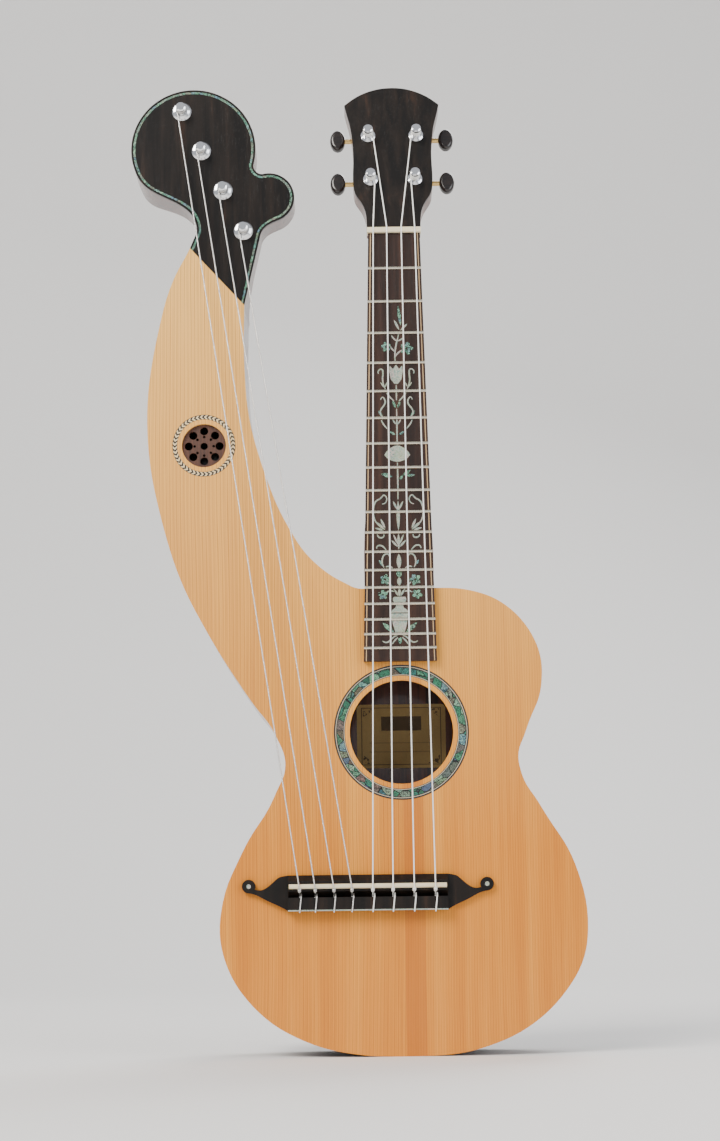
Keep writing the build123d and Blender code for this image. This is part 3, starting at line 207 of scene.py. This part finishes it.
for name, spot, aim, size, watts, tint in (
    ("main_light", (-1.5, -1.9, 2.1), (-0.03, 0, 0.36), 1.5, 112, (1.0, 0.955, 0.89)),
    ("side_light", (1.9, -1.6, 0.9), (0, 0, 0.3), 1.6, 30, (0.95, 0.97, 1.0)),
    ("edge_light", (0.6, 1.5, 1.9), (0, 0, 0.4), 1.2, 30, (1, 1, 1)),
):
    bpy.ops.object.light_add(type="AREA", location=spot)
    lamp = bpy.context.active_object
    lamp.name = name
    lamp.data.size = size
    lamp.data.energy = watts
    lamp.data.color = tint
    lamp.rotation_euler = (Vector(aim) - Vector(spot)).to_track_quat("-Z", "Y").to_euler()

room = bpy.data.worlds.new("room")
room.use_nodes = True
room.node_tree.nodes["Background"].inputs["Color"].default_value = (0.93, 0.95, 1.0, 1)
room.node_tree.nodes["Background"].inputs["Strength"].default_value = 0.62
bpy.context.scene.world = room

# ------------------------------------------------------------------ sides, back and the carved bass head
# One bent wall of dark rosewood runs round the body and the arm, closed behind by a flat back. The block that
# carries the bass pegs is sawn from the same wood. All are filled, sanded flat and lacquered to a gloss.
def rosewood(name, stretch):
    """Rosewood whose grain is drawn out by these three stretches of a place."""
    dark, red, streak = (0.022, 0.006, 0.004), (0.125, 0.032, 0.014), (0.052, 0.013, 0.007)
    finish, surface, place = new_finish(name, Roughness=0.34, Coat_Weight=0.7, Coat_Roughness=0.08)
    x, y, z = place.axes()
    drawn = place.placed(x * stretch[0], y * stretch[1], z * stretch[2])
    wide = drawn.noise(0.22, detail=3, turn=0.5)
    fine = drawn.noise(2.4, detail=6, rough=0.65)
    pores = drawn.noise(9.0, detail=2) > 0.64
    figure = wide.node(
        "ShaderNodeValToRGB",
        {"stops": [(0.30, dark), (0.43, red), (0.50, streak), (0.57, red), (0.70, dark)]},
        {0: wide},
    )
    threads = (fine * 1.3).mixed((0.35, 0.30, 0.28), (1.0, 1.0, 1.0))
    blend = {"data_type": "RGBA", "blend_type": "MULTIPLY"}
    tone = figure.node("ShaderNodeMix", blend, {0: 0.75, 6: figure, 7: threads}, out=2)
    pored = (pores * 0.6).mixed(tone, (0.012, 0.004, 0.003))
    feed(surface, Base_Color=pored, Roughness=fine * 0.12 + 0.27, height=fine * 0.5 - pores * 0.5)
    return finish


dress(rosewood("rosewood_sides", (30, 520, 26)), "ribs")
dress(rosewood("rosewood_back", (420, 60, 13)), "back")
dress(rosewood("rosewood_bass_head", (380, 300, 22)), "arm_head")

# ------------------------------------------------------------------ linings, blocks, braces and label
# Bare pale wood inside the box: saw-cut lining strips glued into the corners, blocks at the neck and tail,
# straight braces, and a plain paper label seen through the soundhole.
pale_wood, surface, place = new_finish("bare_pale_wood", Roughness=0.72)
x, y, z = place.axes()
lines = place.placed(x * 320, y * 320, z * 14).noise(1.0, detail=5, turn=0.3)
feed(surface, Base_Color=lines.node(
    "ShaderNodeValToRGB",
    {"stops": [(0.30, (0.40, 0.23, 0.10)), (0.5, (0.58, 0.37, 0.18)), (0.72, (0.68, 0.47, 0.25))]},
    {0: lines},
), height=lines)
dress(pale_wood, "neck_block", "tail_block", "top_braces", "back_braces", "bridge_plate")

kerfed, surface, place = new_finish("kerfed_lining_wood", Roughness=0.75)
x, y, z = place.axes()
round_body = x.node("ShaderNodeMath", {"operation": "ARCTAN2"}, {0: z - 0.17, 1: x})
cut_slots_and_painted_shade = (round_body * 95).maths("SINE") > 0.86
speckle = place.noise(700, detail=3)
bare = speckle.mixed((0.44, 0.27, 0.13), (0.60, 0.40, 0.20))
# The saw cuts are painted near-black: painted shade inside the slots, with a bump for their depth.
feed(surface, Base_Color=cut_slots_and_painted_shade.mixed(bare, (0.05, 0.025, 0.012)), height=speckle * 0.2 - cut_slots_and_painted_shade)
dress(kerfed, "linings")

paper, surface, place = new_finish("label_paper", Roughness=0.85)
x, y, z = place.axes()
low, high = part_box("maker_label")
middle = (low + high) / 2
far_across = (x - middle.x).maths("ABSOLUTE") / ((high.x - low.x) / 2)
far_up = (z - middle.z).maths("ABSOLUTE") / ((high.z - low.z) / 2)
edge = far_across.maths("MAXIMUM", far_up)
border = (edge > 0.880) * (edge < 0.900)
corners = (edge > 0.74) * (edge < 0.86) * ((far_across + far_up) > 1.45) * (place.noise(520, detail=3) > 0.52)
panel = ((x - middle.x).maths("ABSOLUTE") < 0.0135) * ((z - middle.z - 0.0085).maths("ABSOLUTE") < 0.0048)
rules = (((z - middle.z) * 1050).maths("SINE") > 0.93) * (z < middle.z - 0.001) * (edge < 0.72) * 0.35
fibres = place.noise(900, detail=3)
page = fibres.mixed((0.40, 0.27, 0.11), (0.52, 0.37, 0.16))
ink = border.maths("MAXIMUM", corners).maths("MAXIMUM", panel).maths("MAXIMUM", rules)
feed(surface, Base_Color=(ink * 0.85).mixed(page, (0.060, 0.042, 0.030)), height=fibres * 0.4)
dress(paper, "maker_label")

# ------------------------------------------------------------------ soundboard
# Book-matched straight-grained cedar under a clear gloss lacquer, paler towards the end of the arm.
# Close grain lines run its length, with a darker strip to the treble side of the centre joint.
cedar, surface, place = new_finish("cedar_top", Roughness=0.38, Coat_Weight=0.22, Coat_Roughness=0.12)
surface.inputs["Specular IOR Level"].default_value = 0.22
x, y, z = place.axes()
sway = place.placed(x * 6, y * 6, z * 3.2).noise(1.0, detail=2) * 0.010
across = (x + sway - 0.005).maths("ABSOLUTE") + x * 0.17
bands = across.placed(across * 60, 0.0, z * 1.4).noise(1.0, detail=4, rough=0.65)
crowding = bands * 9.0
year_lines = (across * 5600 + crowding).maths("SINE") * 0.5 + 0.5
late_wood = ((across * 3300 + crowding).maths("SINE") * 0.5 + 0.5).maths("POWER", 3.0)
broken = across.placed(across * 1500, 0.0, z * 22).noise(1.0, detail=3)
silk = place.placed(x * 2600, y * 2600, z * 60).noise(1.0, detail=3)
base = bands.node(
    "ShaderNodeValToRGB",
    {"stops": [(0.30, (0.560, 0.168, 0.008)), (0.50, (0.690, 0.245, 0.018)), (0.70, (0.790, 0.320, 0.034))]},
    {0: bands},
)
strip = (x > 0.0005) * (x < 0.0135) * (z < 0.24)
warm = (strip * 0.55).mixed(base, (0.450, 0.104, 0.006))
arm_share = (z - 0.13) / 0.40
paler = (arm_share.maths("MAXIMUM", 0.0).maths("MINIMUM", 1.0) * 0.80).mixed(warm, (0.980, 0.600, 0.165))
lines = (year_lines * 0.45 + late_wood * 0.50) * broken
grained = lines.mixed(paler, (0.330, 0.084, 0.006))
feed(surface, Base_Color=(silk * 0.08).mixed(grained, (0.90, 0.50, 0.14)), Roughness=silk * 0.10 + 0.32,
     height=broken * 0.6 - year_lines * 0.3)
dress(cedar, "soundboard")

# ------------------------------------------------------------------ rosettes and grille
# The soundhole has a ring of green, blue and pink shell between fine black and white lines. The
# small hole of the arm has a rope of light and dark wood chips round a pierced wooden grille.
def paua(name, scale=170, lift=0.0):
    """Green and blue shell with pink patches, in small chips, with painted highlights as small pale green
    glints. Lift is how far it leans to pale green.
    """
    finish, surface, place = new_finish(name, Roughness=0.16, Coat_Weight=0.35, Coat_Roughness=0.06)
    cell = {"Vector": place, "Scale": scale, "Randomness": 1.0}
    hue, sheen, _ = place.node("ShaderNodeTexVoronoi", {"feature": "F1"}, cell, out=1).axes()
    seam = {"feature": "DISTANCE_TO_EDGE"}
    joint = place.node("ShaderNodeTexVoronoi", seam, cell) < 0.035
    flow = place.noise(430, detail=4, rough=0.65, turn=3.0)
    ripples = (flow * 26 + hue * 20).maths("SINE") * 0.5 + 0.5
    chip = hue.node(
        "ShaderNodeValToRGB",
        {"stops": [
            (0.00, (0.020, 0.100, 0.060)), (0.20, (0.045, 0.270, 0.140)), (0.36, (0.025, 0.170, 0.160)),
            (0.48, (0.230, 0.125, 0.105)), (0.60, (0.150, 0.170, 0.070)), (0.74, (0.045, 0.095, 0.300)),
            (0.87, (0.050, 0.300, 0.150)), (1.00, (0.190, 0.115, 0.120)),
        ]},
        {0: hue},
    )
    lifted = (flow * lift).mixed(chip, (0.40, 0.78, 0.56))
    rippled = ripples.mixed((0.008, 0.018, 0.015), lifted)
    # Painted highlight: where the ripples peak on chips with a high random value, small pale green glints are
    # painted into the colour.
    painted_highlight_spots = ((ripples * sheen) > 0.66) * 0.5
    with_painted_highlights = painted_highlight_spots.mixed(rippled, (0.36, 0.70, 0.42))
    chipped = joint.mixed(with_painted_highlights, (0.006, 0.008, 0.006))
    feed(surface, Base_Color=chipped, Roughness=flow * 0.25 + 0.06, height=ripples * 0.3)
    return finish


dress(paua("rosette_paua"), "rosette_shell")
dress(paua("bass_head_paua", 330, lift=0.5), "arm_head_purfling")

hole_up = 0.2055
purfling, surface, place = new_finish("black_and_white_lines", Roughness=0.35, Coat_Weight=0.4)
x, y, z = place.axes()
from_hole = (x * x + (z - hole_up) * (z - hole_up)).maths("SQRT")
inner_white = (from_hole > 0.03702) * (from_hole < 0.03726)
outer_white = (from_hole > 0.04240) * (from_hole < 0.04266)
grain = place.noise(1500, detail=2)
black = grain.mixed((0.012, 0.010, 0.009), (0.030, 0.024, 0.020))
feed(surface, Base_Color=(inner_white + outer_white).mixed(black, (0.74, 0.66, 0.48)), height=grain * 0.3)
dress(purfling, "rosette_purfling")

low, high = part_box("arm_rosette")
rope_middle = (low + high) / 2
rope, surface, place = new_finish("rope_of_wood_chips", Roughness=0.38, Coat_Weight=0.4)
x, y, z = place.axes()
out_x, out_z = x - rope_middle.x, z - rope_middle.z
away = (out_x * out_x + out_z * out_z).maths("SQRT")
turn = x.node("ShaderNodeMath", {"operation": "ARCTAN2"}, {0: out_z, 1: out_x})
folded = (away - 0.0193).maths("ABSOLUTE") * 2300
chips = (turn * 44 + folded).maths("SINE") > -0.1
edging = (away < 0.01785) + (away > 0.02060)
light_chips = place.noise(1200, detail=2).mixed((0.66, 0.50, 0.26), (0.80, 0.64, 0.36))
dark_share = edging.maths("MAXIMUM", chips)
feed(surface, Base_Color=dark_share.mixed(light_chips, (0.018, 0.012, 0.010)), height=chips * -0.15)
dress(rope, "arm_rosette")

grille, surface, place = new_finish("grille_wood", Roughness=0.45)
x, y, z = place.axes()
lines = place.placed(x * 500, y * 300, z * 30).noise(1.0, detail=5)
reds = {"stops": [(0.3, (0.032, 0.011, 0.006)), (0.7, (0.095, 0.034, 0.017))]}
feed(surface, Base_Color=lines.node("ShaderNodeValToRGB", reds, {0: lines}), height=lines)
dress(grille, "arm_grille")

# ------------------------------------------------------------------ neck
# Dark mahogany, carved with a round back and a smooth heel, the head tilted back. Its open grain
# is filled and the whole is lacquered.
mahogany, surface, place = new_finish("mahogany_neck", Roughness=0.36, Coat_Weight=0.55, Coat_Roughness=0.10)
x, y, z = place.axes()
drawn = place.placed(x * 260, y * 260, z * 11)
ribbon = drawn.noise(0.35, detail=3, turn=0.6)
fine = drawn.noise(2.2, detail=5, rough=0.65)
pores = drawn.noise(7.0, detail=2) > 0.62
tone = ribbon.node(
    "ShaderNodeValToRGB",
    {"stops": [(0.30, (0.060, 0.018, 0.009)), (0.52, (0.120, 0.036, 0.016)), (0.70, (0.165, 0.056, 0.024))]},
    {0: ribbon * 0.6 + fine * 0.4},
)
pored = (pores * 0.55).mixed(tone, (0.020, 0.006, 0.004))
feed(surface, Base_Color=pored, Roughness=fine * 0.12 + 0.28, height=fine - pores * 0.6)
dress(mahogany, "neck")


# ------------------------------------------------------------------ ebony: head plates and bridge
# Near-black ebony with faint brown streaks. The two head plates are lacquered, and the carved bridge is only
# polished.
def ebony(name, coat, rough):
    """Ebony with faint brown streaks along the instrument."""
    finish, surface, place = new_finish(name, Coat_Weight=coat, Coat_Roughness=0.08)
    surface.inputs["Specular IOR Level"].default_value = 0.22
    x, y, z = place.axes()
    drawn = place.placed(x * 330, y * 330, z * 24)
    streaks = drawn.noise(0.5, detail=4, rough=0.6, turn=0.4)
    pores = drawn.noise(6.0, detail=2) > 0.66
    tone = streaks.node(
        "ShaderNodeValToRGB",
        {"stops": [
            (0.40, (0.0045, 0.0035, 0.003)), (0.60, (0.011, 0.007, 0.005)), (0.74, (0.030, 0.015, 0.009)),
        ]},
        {0: streaks},
    )
    pored = (pores * 0.4).mixed(tone, (0.003, 0.003, 0.003))
    feed(surface, Base_Color=pored, Roughness=streaks * 0.15 + rough, height=streaks * 0.4 - pores * 0.6)
    return finish


dress(ebony("lacquered_ebony", 0.22, 0.24), "headstock_plate", "arm_head_plate")
dress(ebony("polished_ebony", 0.05, 0.36), "bridge")

# ------------------------------------------------------------------ fretboard, lines, inlay and frets
# Oiled dark rosewood board with a tan line along each side, nickel frets, and a vine cut from
# white pearl with leaves and flowers of coloured shell.
board, surface, place = new_finish("fretboard_rosewood", Roughness=0.46, Coat_Weight=0.05)
surface.inputs["Specular IOR Level"].default_value = 0.3
x, y, z = place.axes()
drawn = place.placed(x * 420, y * 420, z * 17)
streaks = drawn.noise(0.45, detail=4, turn=0.4)
pores = drawn.noise(6.5, detail=2) > 0.60
tone = streaks.node(
    "ShaderNodeValToRGB",
    {"stops": [(0.32, (0.013, 0.006, 0.004)), (0.52, (0.028, 0.012, 0.008)), (0.70, (0.052, 0.022, 0.013))]},
    {0: streaks},
)
pored = (pores * 0.6).mixed(tone, (0.009, 0.005, 0.004))
feed(surface, Base_Color=pored, Roughness=streaks * 0.18 + 0.36, height=streaks - pores)
dress(board, "fretboard")

tan_line, surface, place = new_finish("tan_side_line", Roughness=0.4)
x, y, z = place.axes()
lines = place.placed(x * 900, y * 900, z * 40).noise(1.0, detail=3)
feed(surface, Base_Color=lines.mixed((0.42, 0.26, 0.13), (0.60, 0.42, 0.23)), height=lines)
dress(tan_line, "fretboard_lines")

pearl, surface, place = new_finish("white_pearl", Roughness=0.18, Coat_Weight=0.35, Coat_Roughness=0.06)
swirl = place.noise(300, detail=5, rough=0.7, turn=2.5)
cell = {"Vector": place, "Scale": 210.0}
pieces = place.node("ShaderNodeTexVoronoi", {"feature": "F1"}, cell, out=1).axes()[0]
glow = (swirl * 26 + pieces * 9).maths("SINE") * 0.5 + 0.5
engraved = ((swirl * 60).maths("SINE") > 0.90) * 0.7
sheen = glow.node(
    "ShaderNodeValToRGB",
    {"stops": [
        (0.00, (0.085, 0.190, 0.185)), (0.25, (0.250, 0.370, 0.310)), (0.50, (0.560, 0.570, 0.460)),
        (0.72, (0.470, 0.340, 0.330)), (0.88, (0.260, 0.400, 0.190)), (1.00, (0.150, 0.210, 0.340)),
    ]},
    {0: glow * 0.7 + pieces * 0.3},
)
cut = engraved.mixed(sheen, (0.050, 0.060, 0.055))
feed(surface, Base_Color=cut, Roughness=swirl * 0.2 + 0.08, height=glow * 0.3)
dress(pearl, "pearl_inlay", "bridge_pearl")
dress(paua("leaf_and_flower_paua", 300, lift=0.9), "abalone_inlay")

nickel, surface, place = new_finish("fret_nickel", Metallic=1.0)
x, y, z = place.axes()
rubbed = place.placed(x * 4000, y * 900, z * 900).noise(1.0, detail=3)
worn = rubbed.mixed((0.60, 0.55, 0.43), (0.80, 0.76, 0.64))
feed(surface, Base_Color=worn, Roughness=rubbed * 0.22 + 0.16, height=rubbed * 0.25)
dress(nickel, "frets")

# ------------------------------------------------------------------ nut and saddle
# Cream bone, polished but not glossy, with a faint cloudy grain.
bone, surface, place = new_finish("cream_bone", Subsurface_Weight=0.12, Subsurface_Scale=0.002)
clouds = place.noise(160, detail=4)
flecks = place.noise(1400, detail=2) > 0.66
cream = clouds.mixed((0.70, 0.60, 0.38), (0.82, 0.74, 0.52))
flecked = (flecks * 0.3).mixed(cream, (0.48, 0.38, 0.22))
feed(surface, Base_Color=flecked, Roughness=clouds * 0.2 + 0.22, height=clouds * 0.4 - flecks * 0.3)
dress(bone, "nut", "saddle")

# ------------------------------------------------------------------ metal of the tuners and pegs
# Chromed posts, plates and bushings, with brass worms and screws. Fine rubbing marks break up the shine.
chrome, surface, place = new_finish("chrome", Metallic=1.0)
rubbed = place.noise(900, detail=4, rough=0.7)
worn = rubbed.mixed((0.74, 0.75, 0.77), (0.86, 0.87, 0.89))
feed(surface, Base_Color=worn, Roughness=rubbed * 0.16 + 0.05, height=rubbed * 0.12)
dress(chrome, "arm_peg_bushings", "tuner_plates", "tuner_bushings",
      *[f"{kind}_post_{i}" for kind in ("arm", "tuner") for i in range(1, 5)])

brass, surface, place = new_finish("brass", Metallic=1.0)
rubbed = place.noise(1100, detail=4, rough=0.7)
worn = rubbed.mixed((0.58, 0.38, 0.13), (0.78, 0.56, 0.24))
feed(surface, Base_Color=worn, Roughness=rubbed * 0.2 + 0.14, height=rubbed * 0.15)
dress(brass, "tuner_screws", *[f"tuner_worm_{i}" for i in range(1, 5)])

# ------------------------------------------------------------------ buttons
# Oval knobs of polished dark wood, pushed on to the worm shafts and the bass posts.
knob, surface, place = new_finish("dark_button_wood", Roughness=0.25, Coat_Weight=0.3, Coat_Roughness=0.08)
x, y, z = place.axes()
lines = place.placed(x * 160, y * 900, z * 900).noise(1.0, detail=5)
darks = {"stops": [(0.35, (0.004, 0.003, 0.003)), (0.70, (0.017, 0.009, 0.007))]}
dark_wood = lines.node("ShaderNodeValToRGB", darks, {0: lines})
feed(surface, Base_Color=dark_wood, Roughness=lines * 0.15 + 0.16, height=lines * 0.4)
dress(knob, *[f"{kind}_button_{i}" for kind in ("arm", "tuner") for i in range(1, 5)])

# ------------------------------------------------------------------ strings
# Clear white fluorocarbon for the four stopped strings. The four bass strings are wound with fine
# silvered wire.
clear, surface, place = new_finish("clear_string", Roughness=0.22, Coat_Weight=0.5)
tone = place.noise(60, detail=2)
feed(surface, Base_Color=tone.mixed((0.78, 0.78, 0.74), (0.90, 0.90, 0.87)), height=tone * 0.1)
dress(clear, *[f"melody_string_{i}" for i in range(1, 5)])

wound, surface, place = new_finish("silver_wound_string", Metallic=0.85)
x, y, z = place.axes()
wire = (z * 20000).maths("SINE") * 0.5 + 0.5
# Along each turn of the winding the silver is painted brighter on the crown and darker in the groove between
# turns: painted highlight and painted shade.
winding_painted_light_and_shade = wire.mixed((0.46, 0.45, 0.43), (0.86, 0.85, 0.83))
feed(surface, Base_Color=winding_painted_light_and_shade, Roughness=0.34 - wire * 0.10, height=wire * 0.5)
dress(wound, *[f"bass_string_{i}" for i in range(1, 5)])

# ------------------------------------------------------------------ twists of the string ties
# Behind the saddle each string is passed through the bridge, back over it and twisted round
# itself. The twist is nearly three close turns of the string's own end.
low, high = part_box("saddle")
saddle_up = (low.z + high.z) / 2
twist_wire, twist_round, twist_turns, twist_rise = 0.00040, 0.00076, 2.75, 0.0024
twist_front, twist_drop, tie_below = -0.0458, 0.0012, 0.0145
string_finishes = [(f"melody_string_{i}", clear) for i in range(1, 5)]
string_finishes += [(f"bass_string_{i}", wound) for i in range(1, 5)]
bpy.ops.object.select_all(action="DESELECT")
bpy.ops.mesh.primitive_circle_add(vertices=10, radius=twist_wire, fill_type="NGON", location=(0, 0, 0))
twist = bpy.context.active_object
bpy.ops.object.mode_set(mode="EDIT")
bpy.ops.mesh.select_all(action="SELECT")
bpy.ops.transform.rotate(value=radians(90), orient_axis="X", center_override=(0, 0, 0))
bpy.ops.transform.translate(value=(twist_round, 0, 0))
bpy.ops.object.mode_set(mode="OBJECT")
turns = twist.modifiers.new("turns", "SCREW")
turns.angle = 2 * pi * twist_turns
turns.screw_offset = twist_rise
turns.iterations = 1
turns.steps = 44
turns.render_steps = 44
turns.use_merge_vertices = True
bpy.ops.object.modifier_apply(modifier="turns")
bpy.ops.object.mode_set(mode="EDIT")
bpy.ops.mesh.select_all(action="SELECT")
bpy.ops.mesh.remove_doubles(threshold=0.00001)
bpy.ops.mesh.select_all(action="DESELECT")
bpy.ops.mesh.select_mode(type="EDGE")
bpy.ops.mesh.select_non_manifold()
bpy.ops.mesh.edge_face_add()
bpy.ops.mesh.select_all(action="SELECT")
bpy.ops.mesh.normals_make_consistent(inside=False)
bpy.ops.object.mode_set(mode="OBJECT")
bpy.ops.object.shade_smooth()
down = Vector((0, 0.0064, -0.00498)).normalized()
leaning = down.to_track_quat("Z", "X").to_matrix().to_4x4()
for name, finish in string_finishes:
    corners = [corner.co for corner in nodes[name].data.vertices]
    foot = [corner.x for corner in corners if corner.z < saddle_up - tie_below]
    spot = Vector(((min(foot) + max(foot)) / 2, twist_front, saddle_up - twist_drop)) + down * 0.0006
    tied = twist.copy()
    tied.data = twist.data.copy()
    tied.name = f"string_twist_{name}"
    bpy.context.collection.objects.link(tied)
    tied.data.transform(Matrix.Translation(spot) @ leaning)
    tied.data.materials.append(finish)
    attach(tied, "instrument")
bpy.data.objects.remove(twist)

# ------------------------------------------------------------------ gear screws
# Each gear wheel is held on its post by a small slotted brass screw, with a rounded rim.
screw_r, screw_t, screw_rim = 0.0021, 0.0009, 0.00022
cut_w, cut_d = 0.0005, 0.0007
head_tilt = radians(12)
bpy.ops.object.select_all(action="DESELECT")
bpy.ops.mesh.primitive_cylinder_add(vertices=40, radius=screw_r, depth=screw_t, location=(0, 0, 0))
gear_screw = bpy.context.active_object
bpy.ops.mesh.primitive_cube_add(size=1, location=(0, 0, -screw_t / 2))
slot_tool = bpy.context.active_object
bpy.ops.object.mode_set(mode="EDIT")
bpy.ops.transform.resize(value=(3 * screw_r, cut_w, cut_d))
bpy.ops.object.mode_set(mode="OBJECT")
bpy.ops.object.select_all(action="DESELECT")
gear_screw.select_set(True)
bpy.context.view_layer.objects.active = gear_screw
rim = gear_screw.modifiers.new("rim", "BEVEL")
rim.width = screw_rim
rim.segments = 3
rim.limit_method = "ANGLE"
bpy.ops.object.modifier_apply(modifier="rim")
slotted = gear_screw.modifiers.new("slot", "BOOLEAN")
slotted.object = slot_tool
slotted.operation = "DIFFERENCE"
bpy.ops.object.modifier_apply(modifier="slot")
bpy.ops.object.shade_smooth_by_angle(angle=radians(35))
bpy.data.objects.remove(slot_tool)
outward = Vector((0, -cos(head_tilt), sin(head_tilt)))
upright = Matrix((Vector((1, 0, 0)), outward.cross(Vector((1, 0, 0))), outward)).transposed().to_4x4()
for number in range(1, 5):
    joint = [j for j in frame["joints"] if j["name"] == f"tuner_post_{number}_turn"][0]
    on_axis = Vector(joint["pos_m"])
    foot = min((corner.co - on_axis).dot(outward) for corner in nodes[f"tuner_post_{number}"].data.vertices)
    spot = on_axis + outward * (foot - 0.00044)
    fitted = gear_screw.copy()
    fitted.data = gear_screw.data.copy()
    fitted.name = f"gear_screw_{number}"
    bpy.context.collection.objects.link(fitted)
    turned = Matrix.Rotation(radians(25 + 40 * number), 4, "Z")
    fitted.data.transform(Matrix.Translation(spot) @ upright @ turned)
    fitted.data.materials.append(brass)
    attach(fitted, f"tuner_{number}")
bpy.data.objects.remove(gear_screw)
